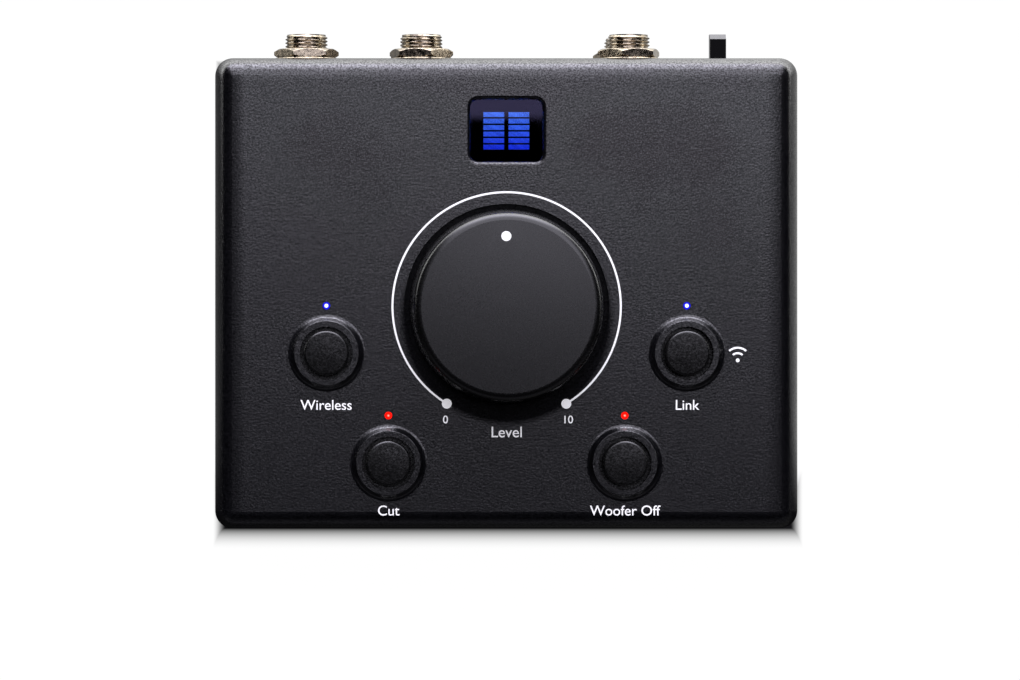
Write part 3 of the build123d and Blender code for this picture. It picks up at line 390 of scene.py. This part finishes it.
epoxy = moulded_plastic("moulded_epoxy", "#0e0e0f", "#171718", (0.5, 0.65), 0.15, 0.01)
nylon_cream = moulded_plastic("moulded_nylon_cream", "#c8bfa0", "#d8d0b4", (0.4, 0.5), 0.3, 0.005)
nylon_black = moulded_plastic("moulded_nylon_black", "#0c0c0d", "#161617", (0.38, 0.5), 0.25, 0.01)
can_metal = drawn_metal("drawn_aluminium_can", "#8d9095", "#b5b8bc", "Z")
tin = drawn_metal("tinned_steel_shield", "#9ea1a4", "#c6c8ca", "X")
gold = drawn_metal("gold_flashed_pin", "#b8923c", "#dbb864", "Z", roughness=(0.15, 0.25))
coat(nodes["signal_chips"], epoxy)
coat(nodes["supply_capacitors"], can_metal)
coat(nodes["wireless_module"], mask)
coat(nodes["wireless_shield"], tin)
coat(nodes["link_header"], nylon_black)
coat(nodes["link_pins"], gold)
coat(nodes["ribbon_connectors"], nylon_cream)
coat(nodes["ribbon_cable"], ribbon_pvc())

# ---------------------------------------------------------------- jack housings
# Moulded nylon housings for the 6.35 mm sockets, the small aux socket and the power inlet. The 6.35 mm
# ones hold sprung contacts of tinned bronze, and the inlet has a plated pin.
jacks = ("sub_out_jack", "main_left_jack", "main_right_jack", "input_left_jack", "input_right_jack")
for node in jacks + ("aux_socket", "power_inlet"):
    coat(nodes[node], nylon_black)
coat(nodes["jack_contacts"], drawn_metal("tinned_spring_bronze", "#a79a78", "#cbbf9d", "Y"))


def nickel_plate():
    """Nickel plate: a warm silver mirror, a little cloudy and pitted."""
    material, tree, shader = new_finish("nickel_plate", Metallic=1.0)
    cloud = mottle(tree, shader, "#6a6358", "#b9ac97", 0.9, roughness=(0.16, 0.3))
    pits = add(tree, "TexVoronoi", {"Vector": spot(tree), "Scale": 1 / (0.28 * MM)})
    depth = ramp(tree, pits.outputs["Distance"], 0.0, 0.45)
    dents = add(tree, "Bump", {"Height": depth, "Distance": 0.016 * MM, "Strength": 0.5})
    waves = add(tree, "Bump", {"Height": cloud, "Distance": 0.025 * MM, "Normal": dents.outputs["Normal"]})
    tree.links.new(waves.outputs["Normal"], shader.inputs["Normal"])
    return material


nickel = nickel_plate()
for node in ("aux_barrel", "power_inlet_pin", "pot_nut"):
    coat(nodes[node], nickel)

# ---------------------------------------------------------------- rear panel
# Flat aluminium panel, punched for the sockets and sprayed satin black. It drops into a seat in the
# cover's back wall.


def satin_enamel():
    """Sprayed satin enamel on aluminium: smooth, near black, with a soft even sheen."""
    material, tree, shader = new_finish("satin_enamel", IOR=1.5)
    mottle(tree, shader, "#0b0b0c", "#0e0e10", 12.0, roughness=(0.36, 0.44))
    grain(tree, shader, (0.35, 0.01))
    return material


coat(nodes["rear_panel"], satin_enamel())

# ---------------------------------------------------------------- threaded bushings
# Turned brass bushings, 3/8 inch-32 thread, nickel plated. The thread is a real helix, 0.794 mm a
# turn, that runs out just before the open end, where the bore has a small lead-in cone.
thread_radius = 4.7625
thread_pitch = 0.79375
thread_depth = 0.42
bore_radius = 3.2
bushing_root = 4.45
lead_in = 0.45
thread_end = 0.15
crest_width = 1.35
flank_slope = 3.6
mouth_flare = 0.35
mouth_depth = 0.5
thread_segments = 72
steps_per_turn = 10
low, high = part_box("jack_bushings")
panel_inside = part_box("main_left_jack")[1].y
bushing_tip = high.y
bushing_front = low.y


def thread_ridge(turn):
    """Height of the thread's profile, from 0 at its root to 1 at its flat crest."""
    share = turn % 1.0
    return min(1.0, max(0.0, crest_width - abs(share - 0.5) * flank_slope))


def threaded_bushing(mesh, centre, start_angle):
    """One bushing about a line along +Y. Its thread's radius follows the helix, point by point."""
    length = (bushing_tip - panel_inside) / MM
    rows = int(length / thread_pitch * steps_per_turn)
    rings = []
    for row in range(rows + 1):
        along = length * row / rows
        fade = min(1.0, max(0.0, (length - thread_end - along) / lead_in), along / lead_in)
        ring = []
        for i in range(thread_segments):
            angle = 2 * pi * i / thread_segments
            ridge = thread_ridge(along / thread_pitch - (angle + start_angle) / (2 * pi))
            radius = thread_radius - thread_depth + thread_depth * ridge * fade
            ring.append(mesh.verts.new((centre.x + radius * cos(angle) * MM, panel_inside + along * MM,
                                        centre.z + radius * sin(angle) * MM)))
        rings.append(ring)
    inner = [(bore_radius + mouth_flare, length), (bore_radius, length - mouth_depth)]
    inner += [(bore_radius, (bushing_front - panel_inside) / MM)]
    inner += [(bushing_root, (bushing_front - panel_inside) / MM), (bushing_root, 0)]
    for radius, along in inner:
        rings.append([mesh.verts.new((centre.x + radius * cos(2 * pi * i / thread_segments) * MM,
                                      panel_inside + along * MM,
                                      centre.z + radius * sin(2 * pi * i / thread_segments) * MM))
                      for i in range(thread_segments)])
    for first, second in zip(rings, rings[1:] + rings[:1]):
        for i in range(thread_segments):
            j = (i + 1) % thread_segments
            mesh.faces.new((first[i], first[j], second[j], second[i]))


jack_centres = {name: sum(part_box(name), Vector()) / 2 for name in jacks}
bushings = bmesh.new()
for number, centre in enumerate(jack_centres.values()):
    threaded_bushing(bushings, centre, 1.7 * number)
piece = new_piece("threaded_bushings", bushings)
smooth_below(piece, 50)
coat(piece, nickel)
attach(piece, "root")
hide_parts("jack_bushings")

# ---------------------------------------------------------------- nuts and washers
# Hexagonal nuts, 12.7 mm across flats, with both faces turned to a shallow cone, over flat washers.
# Both are nickel plated.
nut_size = 12.7
nut_bevel = radians(30)
nut_face_radius = nut_size / 2 - 0.15
nut_thread_lap = 0.25
nut_mouth = 0.15
nut_turns = {"sub_out_jack": 7.6, "main_left_jack": -13.0, "main_right_jack": 21.0,
             "input_left_jack": 16.0, "input_right_jack": -5.0}
nut_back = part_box("jack_nuts")[1].y
nut_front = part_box("jack_nuts")[0].y
nut_segments = 144


def hexagon(angle):
    """Distance from the middle of a nut to its side, in a direction."""
    return nut_size / 2 / cos((angle + pi / 6) % (pi / 3) - pi / 6)


def bevelled_nut(mesh, centre, turn):
    """One nut about a line along +Y. Each level is the hexagon, cut by the cone of the turned face."""
    height = (nut_back - nut_front) / MM
    corner = nut_size / 2 / cos(pi / 6)
    drop = (corner - nut_face_radius) * tan(nut_bevel)
    steps = [drop * (i / 8) for i in range(9)]
    hole = thread_radius - nut_thread_lap
    levels = [(hole, nut_thread_lap), (thread_radius + nut_mouth, 0)]
    levels += [(nut_face_radius + step / tan(nut_bevel), step) for step in steps]
    levels += [(nut_face_radius + step / tan(nut_bevel), height - step) for step in reversed(steps)]
    levels += [(thread_radius + nut_mouth, height), (hole, height - nut_thread_lap)]
    rings = []
    for reach, along in levels:
        ring = []
        for i in range(nut_segments):
            angle = 2 * pi * i / nut_segments
            radius = min(reach, hexagon(angle)) if reach > thread_radius + 0.2 else reach
            facing = angle + radians(90 - turn)
            ring.append(mesh.verts.new((centre.x + radius * cos(facing) * MM, nut_front + along * MM,
                                        centre.z + radius * sin(facing) * MM)))
        rings.append(ring)
    for first, second in zip(rings, rings[1:] + rings[:1]):
        for i in range(nut_segments):
            j = (i + 1) % nut_segments
            mesh.faces.new((first[i], first[j], second[j], second[i]))


nuts = bmesh.new()
for name, centre in jack_centres.items():
    bevelled_nut(nuts, centre, nut_turns[name])
bmesh.ops.remove_doubles(nuts, verts=nuts.verts, dist=1e-6)
piece = new_piece("bevelled_nuts", nuts)
smooth_below(piece, 20)
coat(piece, nickel)
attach(piece, "root")
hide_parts("jack_nuts")

washer_low, washer_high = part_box("jack_washers")
washer_thickness = (washer_high.y - washer_low.y) / MM
washer_radius = 7.3
washer_rim = 0.12
washer_gap = 0.05
washers = bmesh.new()
for centre in jack_centres.values():
    seat = Matrix.Translation((centre.x, washer_low.y, centre.z)) @ Matrix.Rotation(-pi / 2, 4, "X")
    hole = thread_radius + washer_gap
    lathe(washers, [(hole, 0), (washer_radius - washer_rim, 0), (washer_radius, washer_rim),
                    (washer_radius, washer_thickness - washer_rim),
                    (washer_radius - washer_rim, washer_thickness), (hole, washer_thickness),
                    (hole, 0)], 96, seat)
bmesh.ops.remove_doubles(washers, verts=washers.verts, dist=1e-6)
piece = new_piece("flat_washers", washers)
smooth_below(piece)
coat(piece, nickel)
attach(piece, "root")
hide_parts("jack_washers")

# ---------------------------------------------------------------- power switch
# A latching push switch on the upper board. Its square cap is moulded in black plastic, with a
# sloped end, and sticks out through the rear panel.
coat(nodes["power_switch_body"], nylon_black)
coat(nodes["power_switch_slider"], nylon_cream)


def switch_cap_plastic():
    """Black plastic cap, with matt long sides and a polished sloping end."""
    material, tree, shader = new_finish("switch_cap_plastic", IOR=1.53)
    mottle(tree, shader, "#020202", "#050505", 1.0, roughness=(0.2, 0.26))
    facing = add(tree, "SeparateXYZ", {0: add(tree, "NewGeometry").outputs["True Normal"]})
    shine(tree, shader, ramp(tree, facing.outputs["Y"], 0.1, 0.3))
    return material


coat(nodes["power_button"], switch_cap_plastic())

# ---------------------------------------------------------------- button switches and potentiometer
# Tact switches with coloured plungers, and a potentiometer in a zinc body with a turned shaft.
coat(nodes["tact_switches"], nylon_black)
plunger_red = moulded_plastic("moulded_acetal_red", "#6d1512", "#8a211c", (0.35, 0.45), 0.3, 0.004)
for node in ("wireless", "pair", "mute", "sub"):
    coat(nodes[node + "_switch_plunger"], plunger_red)
pot_zinc = drawn_metal("die_cast_zinc", "#8a8a86", "#acaca7", "X", roughness=(0.35, 0.5))
coat(nodes["pot_body"], pot_zinc)
coat(nodes["pot_shaft"], drawn_metal("turned_aluminium", "#a3a5a8", "#c9cbcd", "Z"))
phenolic = moulded_plastic("moulded_phenolic", "#3a2415", "#4a2f1c", (0.4, 0.5), 0.4, 0.01)
coat(nodes["pot_wiper"], phenolic)

# ---------------------------------------------------------------- lamps
# Surface-mounted lamps on the control board, and clear polycarbonate rods that carry the light of
# four of them up to the top face. The rod's end glows, palest in the middle.


def lamp_epoxy():
    """Cast epoxy over the lamp's phosphor: glossy, pale yellow, faintly lit from inside."""
    material, tree, shader = new_finish("lamp_epoxy", Roughness=0.2, Emission_Strength=0.3)
    mottle(tree, shader, "#d8cf9c", "#f0ead0", 0.4)
    shader.inputs["Emission Color"].default_value = linear("#fff4c8")
    grain(tree, shader, (0.3, 0.005))
    return material


def lit_polycarbonate(name, heart, glow, centres, core, strength):
    """Polished polycarbonate, lit from below: pale in the middle, the lamp's colour at its rim."""
    material, tree, shader = new_finish(name, Roughness=0.08, IOR=1.585, Emission_Strength=strength)
    nearest = None
    for centre in centres:
        across = add(tree, "VectorMath", {0: spot(tree), 1: centre}, operation="DISTANCE").outputs["Value"]
        nearest = calc(tree, "MINIMUM", nearest, across) if nearest else across
    share = ramp(tree, nearest, core * MM, (core + 0.34) * MM, smooth=True)
    colour = add(tree, "Mix", {0: share, 6: linear(heart), 7: linear(glow)}, data_type="RGBA")
    tree.links.new(colour.outputs[2], shader.inputs["Emission Color"])
    tree.links.new(colour.outputs[2], shader.inputs["Base Color"])
    return material


coat(nodes["board_leds"], lamp_epoxy())
for node, heart, glow, core, strength in (("blue_light_pipes", "#f2f6ff", "#0606a8", 0.2, 1.3),
                                          ("red_light_pipes", "#ff9a86", "#f01005", 0.0, 1.2)):
    boxes = islands(node)
    centres = [((low.x + high.x) / 2, (low.y + high.y) / 2, high.z) for low, high in boxes]
    coat(nodes[node], lit_polycarbonate("lit_" + node, heart, glow, centres, core, strength))

# ---------------------------------------------------------------- display
# A smoked acrylic window over a black mask. Behind it a white box with four lamps lights twelve clear
# bars, two columns of six, as a level meter. The bars glow blue, brighter toward the top.


def lit_bar_acrylic():
    """Frosted acrylic bars, lit blue from behind: lighter at the top of the meter than at its foot."""
    material, tree, shader = new_finish("lit_bar_acrylic", Roughness=0.4, Emission_Strength=1.0)
    low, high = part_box("display_light_guides")
    place = add(tree, "SeparateXYZ", {0: spot(tree)})
    share = ramp(tree, place.outputs["Y"], low.y, high.y)
    colour = add(tree, "Mix", {0: share, 6: linear("#2440f0"), 7: linear("#5f9cff")}, data_type="RGBA")
    tree.links.new(colour.outputs[2], shader.inputs["Emission Color"])
    tree.links.new(colour.outputs[2], shader.inputs["Base Color"])
    return material


def smoked_acrylic():
    """Polished acrylic, smoked grey: a mirror-smooth face that lets the bright bars through."""
    material, tree, shader = new_finish("smoked_acrylic", IOR=1.6, Transmission_Weight=1.0)
    shader.inputs["Base Color"].default_value = linear("#8a8a90")
    shader.inputs["Specular Tint"].default_value = linear("#c6beff")
    smear = ramp(tree, noise(tree, 5), 0.0, 1.0, 0.01, 0.02)
    tree.links.new(smear, shader.inputs["Roughness"])
    return material


white_plastic = moulded_plastic("moulded_white", "#d2d2cf", "#e2e2df", (0.4, 0.5), 0.4, 0.004)
mask_plastic = moulded_plastic("moulded_mask_black", "#050506", "#08080a", (0.5, 0.6), 0.3, 0.004)
coat(nodes["display_light_box"], white_plastic)
coat(nodes["display_light_guides"], lit_bar_acrylic())
coat(nodes["display_mask"], mask_plastic)
coat(nodes["display_lens"], smoked_acrylic())

# ---------------------------------------------------------------- cover
# Die-cast top cover: one shell with rounded edges, a dish for the dial and a raised collar round each
# button. It is sprayed with a fine textured enamel, which looks soft, dark and slightly speckled.


def fall(tree, distance, start, radius, height=0.0):
    """A height that falls away past a start, as over a rim of a radius, both in millimetres."""
    over = calc(tree, "MAXIMUM", calc(tree, "SUBTRACT", distance, start * MM), 0.0)
    return calc(tree, "MULTIPLY_ADD", calc(tree, "POWER", over, 2.0), -0.5 / (radius * MM), height)


def textured_enamel():
    """Fine textured enamel on cast metal: near black and satin, with a speckle in its highlights."""
    material, tree, shader = new_finish("textured_enamel", IOR=1.5)
    mottle(tree, shader, "#010102", "#0e0e10", 0.42, roughness=(0.22, 0.26), detail=2.0)
    place = add(tree, "SeparateXYZ", {0: spot(tree)}).outputs
    # The floor of the dish is made matt: painted shade in the recess round the dial.
    middle = (dial_centre.x, dial_centre.y, face)
    across = add(tree, "VectorMath", {0: spot(tree), 1: middle}, operation="DISTANCE").outputs["Value"]
    outside = ramp(tree, across, dish_radius * MM, (dish_radius + 0.3) * MM)
    above = ramp(tree, place["Z"], face - 0.6 * MM, face - 0.3 * MM)
    share = calc(tree, "MAXIMUM", outside, above)
    # A crescent in front of the dish is dulled too: painted shade that stands in for the dial's shadow and
    # its dark reflection.
    middle = (dial_centre.x, dial_centre.y - painted_shade_shift * MM, face)
    across = add(tree, "VectorMath", {0: spot(tree), 1: middle}, operation="DISTANCE").outputs["Value"]
    clear = ramp(tree, across, painted_shade_radius * MM, (painted_shade_radius + painted_shade_fade) * MM)
    shine(tree, shader, calc(tree, "MINIMUM", share, clear), grit_size=0.35)
    # The face is flat. Only its shading is crowned, and falls away at the left, right and back ends.
    ends = calc(tree, "ABSOLUTE", calc(tree, "SUBTRACT", place["X"], bow_middle * MM))
    bowed = fall(tree, ends, bow_start, bow_radius)
    crowned = calc(tree, "MULTIPLY_ADD", calc(tree, "POWER", place["Y"], 2.0), -0.5 / (crown_radius * MM),
                   bowed)
    crowned = fall(tree, place["Y"], back_bow_start, back_bow_radius, crowned)
    shaped = add(tree, "Bump", {"Height": crowned, "Distance": 1.0})
    grain(tree, shader, (0.45, 0.026), (0.2, 0.006), normal=shaped.outputs["Normal"])
    return material


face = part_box("blue_light_pipes")[1].z
dial_low, dial_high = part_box("pot_body")
dial_centre = (dial_low + dial_high) / 2
dish_radius = 22.9
# The crescent of painted shade in front of the dial.
painted_shade_shift = 2.6
painted_shade_radius = 22.7
painted_shade_fade = 1.5
bow_middle = -0.9
bow_start = 57.2
bow_radius = 24.0
crown_radius = 3000.0
back_bow_start = 44.2
back_bow_radius = 45.0
enamel = textured_enamel()
coat(nodes["top_cover"], enamel)

# ---------------------------------------------------------------- print
# White epoxy ink, screen printed on the enamel: the dial's arc with a dot at each end, and small
# captions. The ink is a thin opaque film with a faint edge.
ink_thickness = 0.02 * MM
arc_radius = 25.4
arc_width = 0.42
arc_from = -58.5
arc_to = 238.4
end_dot_radius = 1.1


def screen_ink_painted_glow():
    """Screen printed epoxy ink: opaque white and matt. A faint painted glow makes up for light the dial
    keeps off.
    """
    material, tree, shader = new_finish("screen_ink_painted_glow", Roughness=0.5, Emission_Strength=0.3)
    shader.inputs["Emission Color"].default_value = linear("#ffffff")
    mottle(tree, shader, "#e0e0df", "#ebebea", 0.3)
    grain(tree, shader, (0.4, 0.01))
    return material


ink = screen_ink_painted_glow()


def flat_band(mesh, inner, outer, start, end, centre, segments=160):
    """A flat band of ink between two radii in millimetres and two angles in degrees."""
    rows = []
    for i in range(segments + 1):
        angle = radians(start + (end - start) * i / segments)
        rows.append([mesh.verts.new((centre.x + r * cos(angle) * MM, centre.y + r * sin(angle) * MM, z))
                     for r, z in ((inner, face), (inner, face + ink_thickness),
                                  (outer, face + ink_thickness), (outer, face))])
    for first, second in zip(rows, rows[1:]):
        for i in range(4):
            j = (i + 1) % 4
            mesh.faces.new((first[i], second[i], second[j], first[j]))
    mesh.faces.new(rows[0])
    mesh.faces.new(list(reversed(rows[-1])))


def flat_dot(mesh, radius, x, y):
    """A flat round dot of ink, radius in millimetres, centre in metres."""
    lathe(mesh, [(0, 0), (radius, 0), (radius, 0.02), (0, 0.02)], 48, Matrix.Translation((x, y, face)))


def print_piece(name, mesh):
    """Finishes a printed piece: ink all over, carried by the cover."""
    bmesh.ops.recalc_face_normals(mesh, faces=mesh.faces)
    piece = new_piece(name, mesh)
    coat(piece, ink)
    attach(piece, "root")


arc = bmesh.new()
dot_reach = degrees(end_dot_radius / arc_radius)
flat_band(arc, arc_radius - arc_width / 2, arc_radius + arc_width / 2,
          arc_from + dot_reach, arc_to - dot_reach, dial_centre)
for end in (arc_from, arc_to):
    flat_dot(arc, end_dot_radius, dial_centre.x + arc_radius * cos(radians(end)) * MM,
             dial_centre.y + arc_radius * sin(radians(end)) * MM)
print_piece("dial_arc_print", arc)


def caption(name, words, x, y, cap_height):
    """A printed caption: plain sans letters, centred at x with its baseline at y, both in metres."""
    curve = bpy.data.curves.new(name, "FONT")
    curve.body = words
    curve.align_x = "CENTER"
    curve.offset = 0.003
    curve.extrude = 0.01
    text = bpy.data.objects.new(name, curve)
    bpy.context.scene.collection.objects.link(text)
    bpy.context.view_layer.update()
    data = bpy.data.meshes.new_from_object(text.evaluated_get(bpy.context.evaluated_depsgraph_get()))
    bpy.data.objects.remove(text)
    size = cap_height * MM / letter_height
    data.transform(Matrix.Translation((x, y, face + ink_thickness / 2))
                   @ Matrix.Diagonal((size, size, ink_thickness / 0.02, 1)))
    mesh = bmesh.new()
    mesh.from_mesh(data)
    bmesh.ops.remove_doubles(mesh, verts=mesh.verts, dist=1e-7)
    print_piece(name, mesh)


letter_height = 0.69
mark_offset = 11.3
mark_drop = 1.6
mark_dot_radius = 0.42
mark_radii = (1.6, 2.8)
mark_width = 0.42
mark_reach = 42
outer_drop = 12.6
inner_drop = 11.65
dial_drop = 29.1
number_drop = 26.0
number_offset = 13.6
button_letters = 2.2
dial_letters = 2.35
number_letters = 1.7
button_names = ("wireless", "pair", "mute", "sub")
buttons = {name: sum(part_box(name + "_switch_plunger"), Vector()) / 2 for name in button_names}
for name, words, drop in (("wireless", "Wireless", outer_drop), ("pair", "Link", outer_drop),
                          ("mute", "Cut", inner_drop), ("sub", "Woofer Off", inner_drop)):
    caption(name + "_caption", words, buttons[name].x, buttons[name].y - drop * MM, button_letters)
caption("dial_caption", "Level", dial_centre.x, dial_centre.y - dial_drop * MM, dial_letters)
number_height = dial_centre.y - number_drop * MM
caption("dial_start_number", "0", dial_centre.x - number_offset * MM, number_height, number_letters)
caption("dial_end_number", "10", dial_centre.x + number_offset * MM, number_height, number_letters)

# A radio mark, a dot with two arcs over it, stands to the right of the link button.
mark = bmesh.new()
mark_place = Vector((buttons["pair"].x + mark_offset * MM, buttons["pair"].y - mark_drop * MM, 0))
flat_dot(mark, mark_dot_radius, mark_place.x, mark_place.y)
for radius in mark_radii:
    flat_band(mark, radius - mark_width / 2, radius + mark_width / 2,
              90 - mark_reach, 90 + mark_reach, mark_place, 24)
print_piece("radio_mark_print", mark)

# ---------------------------------------------------------------- buttons
# Four round caps, moulded in black plastic. The mould is spark eroded, which leaves a coarse grain on
# top, while the rolled edge is a little smoother and catches the light.


def eroded_plastic():
    """Moulded plastic from a spark eroded mould: dark pits on top, and a smoother edge that shines."""
    material, tree, shader = new_finish("eroded_plastic", IOR=1.5)
    mottle(tree, shader, "#040404", "#080808", 0.4, roughness=(0.24, 0.3))
    grain(tree, shader, (0.45, 0.02))
    pits = ramp(tree, noise(tree, 0.42), 0.4, 0.62, 0.0, 0.6)
    facing = add(tree, "SeparateXYZ", {0: add(tree, "NewGeometry").outputs["True Normal"]})
    edge = ramp(tree, facing.outputs["Z"], 0.985, 0.94)
    shine(tree, shader, calc(tree, "MAXIMUM", pits, edge), matt=0.12)
    return material


eroded = eroded_plastic()
for name in buttons:
    coat(nodes[name + "_button"], eroded)

# ---------------------------------------------------------------- dial
# The volume knob is a moulded cup on a ribbed hub, with a low skirt at its foot and a rounded rim, and a
# white dot let into its top. Its skin is fine and even, with a soft sheen.


def knob_plastic():
    """Moulded plastic with a soft even sheen on the grip. The skirt under it is made matt, as painted
    shade in the gap round its foot.
    """
    material, tree, shader = new_finish("knob_plastic", IOR=1.5)
    mottle(tree, shader, "#040404", "#060606", 0.5, roughness=(0.26, 0.28))
    grain(tree, shader, (0.15, 0.002))
    place = add(tree, "SeparateXYZ", {0: spot(tree)})
    # Painted shade: the skirt at the foot is dulled, where the knob shades it.
    shine(tree, shader, ramp(tree, place.outputs["Z"], face + 1.5 * MM, face + 3 * MM))
    return material


coat(nodes["volume_knob"], knob_plastic())
# The dot is the same ink, with its painted glow.
coat(nodes["knob_pointer_dot"], ink)

# ---------------------------------------------------------------- studio
# A white table, a tall white sweep of light behind the box that reaches overhead, and a camera straight
# above, a little to the left of the middle.
case_low, case_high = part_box("top_cover")


def white_table():
    """White table. The camera sees its own light, with the box's shadow and contact line drawn in it."""
    material, tree, shader = new_finish("white_table", Roughness=0.9, Specular_IOR_Level=0.1)
    shader.inputs["Base Color"].default_value = linear("#161616")
    shader.inputs["Emission Color"].default_value = linear("#ffffff")
    place = add(tree, "SeparateXYZ", {0: spot(tree)}).outputs
    front, back = case_low.y, case_high.y
    # The painted shadow is a strip in front of the box, a little wider than it, that fades out under it.
    dark = ramp(tree, place["Y"], front - shadow_reach * MM, front - shadow_start * MM)
    bright = calc(tree, "SUBTRACT", 1.0, calc(tree, "POWER", dark, 2.0))
    aside = calc(tree, "ABSOLUTE", calc(tree, "SUBTRACT", place["X"], shadow_middle * MM))
    clear = ramp(tree, aside, (shadow_half - shadow_fade) * MM, shadow_half * MM, smooth=True)
    bright = calc(tree, "MAXIMUM", bright, clear)
    past = ramp(tree, place["Y"], front + past_start * MM, front + past_end * MM, smooth=True)
    bright = calc(tree, "MAXIMUM", bright, past)
    # A thin painted contact shadow runs all round the box.
    across = calc(tree, "SUBTRACT", calc(tree, "ABSOLUTE", place["X"]), case_high.x)
    along = calc(tree, "ABSOLUTE", calc(tree, "SUBTRACT", place["Y"], (front + back) / 2))
    along = calc(tree, "SUBTRACT", along, (back - front) / 2)
    apart = calc(tree, "MAXIMUM", across, along)
    bright = calc(tree, "MINIMUM", bright, ramp(tree, apart, 0.0, contact_shadow_width * MM))
    # In reflections the table's light is painted in levels: dim at the left, dim in front where the box
    # shades it, brighter to the right, brightest behind.
    beside = ramp(tree, place["X"], case_low.x, case_high.x, *beside_levels)
    fore = ramp(tree, place["Y"], front - fore_far * MM, front - fore_near * MM, fore_level, 0.0)
    aft = ramp(tree, place["Y"], front, front + aft_reach * MM)
    behind = ramp(tree, place["Y"], back + behind_start * MM, back + behind_end * MM, 0.0, behind_level)
    behind = calc(tree, "MULTIPLY_ADD", beside, calc(tree, "ADD", fore, aft), behind)
    path = add(tree, "LightPath").outputs
    seen = calc(tree, "MAXIMUM", path["Is Camera Ray"], path["Is Transmission Ray"])
    direct = calc(tree, "MULTIPLY", seen, bright)
    mirrored = calc(tree, "MULTIPLY", path["Is Glossy Ray"], behind)
    tree.links.new(calc(tree, "ADD", direct, mirrored), shader.inputs["Emission Strength"])
    # From below the table is clear, so the box's underside can be seen.
    below = add(tree, "NewGeometry").outputs["Backfacing"]
    tree.links.new(calc(tree, "SUBTRACT", 1.0, below), shader.inputs["Alpha"])
    return material


shadow_reach = 7.3
shadow_start = 2.2
shadow_middle = 1.4
shadow_half = 68.7
shadow_fade = 3.0
past_start = 2.0
past_end = 12.0
contact_shadow_width = 1.6
beside_levels = (0.2, 0.75)
fore_far = 60.0
fore_near = 20.0
fore_level = 0.12
aft_reach = 20.0
behind_start = 10.0
behind_end = 110.0
behind_level = 6.0
table = bmesh.new()
bmesh.ops.create_grid(table, x_segments=1, y_segments=1, size=4.0)
floor = new_piece("table", table)
coat(floor, white_table())


def studio_light():
    """Light from a tall white sweep behind the box, and from a strip of it overhead."""
    world = bpy.data.worlds.new("studio")
    world.use_nodes = True
    tree = world.node_tree
    way = add(tree, "SeparateXYZ", {0: add(tree, "TexCoord").outputs["Generated"]}).outputs
    back = way["Y"]
    # The strip overhead: its front edge is sharp, and it gets brighter a little way back, and wider.
    edge = ramp(tree, back, *strip_edge, 0.0, edge_level)
    strip = calc(tree, "ADD", edge, ramp(tree, back, *strip_rise, 0.0, strip_level))
    aside = calc(tree, "ABSOLUTE", calc(tree, "SUBTRACT", way["X"], strip_centre))
    spread = calc(tree, "MULTIPLY_ADD", back, -strip_spread, aside)
    beyond = calc(tree, "MAXIMUM", calc(tree, "SUBTRACT", back, strip_rise[1]), 0.0)
    spread = calc(tree, "MULTIPLY_ADD", beyond, -back_spread, spread)
    narrow = ramp(tree, spread, strip_half, strip_half + strip_fade, 1.0, 0.0, smooth=True)
    strip = calc(tree, "MULTIPLY", strip, narrow)
    strip = calc(tree, "MULTIPLY", strip, ramp(tree, way["Z"], *strip_heights))
    # The sweep starts 58 degrees up, grows down to the table, and fades out 46 degrees to each side.
    sweep = calc(tree, "ADD", ramp(tree, way["Z"], *sweep_heights, 0.0, sweep_level),
                 ramp(tree, way["Z"], sweep_heights[1], 0.0, 0.0, low_level))
    flat = add(tree, "CombineXYZ", {0: way["X"], 1: back})
    flat = add(tree, "VectorMath", {0: flat.outputs[0]}, operation="NORMALIZE")
    turn = add(tree, "SeparateXYZ", {0: flat.outputs[0]}).outputs["Y"]
    sweep = calc(tree, "MULTIPLY", sweep, ramp(tree, turn, *sweep_sides, smooth=True))
    # A faint glow of the room comes from the front, up to 40 degrees high.
    room = ramp(tree, way["Z"], *room_heights, 0.0, room_level)
    front = ramp(tree, turn, *room_sides, smooth=True)
    sweep = calc(tree, "MULTIPLY_ADD", room, front, sweep)
    lit = calc(tree, "MAXIMUM", strip, sweep)
    lit = calc(tree, "MULTIPLY", lit, ramp(tree, way["Z"], -0.01, 0.01))
    seen = add(tree, "LightPath").outputs["Is Camera Ray"]
    sky = tree.nodes["Background"]
    tint = add(tree, "Mix", {0: seen, 6: light_tint, 7: linear("#ffffff")}, data_type="RGBA")
    tree.links.new(tint.outputs[2], sky.inputs["Color"])
    tree.links.new(calc(tree, "MAXIMUM", lit, seen), sky.inputs["Strength"])
    return world


strip_level = 2.36
strip_centre = 0.125
strip_half = 0.083
strip_fade = 0.17
strip_edge = (0.0364, 0.0378)
strip_rise = (0.043, 0.064)
strip_spread = 0.38
back_spread = 0.5
strip_heights = (0.35, 0.75)
edge_level = 1.1
sweep_heights = (0.85, 0.6)
sweep_sides = (0.7, 0.98)
sweep_level = 6.2
low_level = 7.0
room_heights = (0.65, 0.3)
room_sides = (-0.3, -0.7)
room_level = 0.16
light_tint = (0.95, 0.93, 1.07, 1.0)
bpy.context.scene.world = studio_light()

camera_height = 1.0
focal_length = 158.65
camera_place = Vector((-24.25, -1.0))
view_centre = Vector((0.75, -13.38))
lens = bpy.data.cameras.new("camera")
lens.lens = focal_length
lens.sensor_width = 36.0
shift = (view_centre - camera_place) * MM * focal_length / lens.sensor_width / camera_height
lens.shift_x, lens.shift_y = shift
camera = bpy.data.objects.new("camera", lens)
bpy.context.scene.collection.objects.link(camera)
camera.location = (camera_place.x * MM, camera_place.y * MM, face + camera_height)
bpy.context.scene.camera = camera
bpy.context.scene.view_settings.view_transform = "Standard"
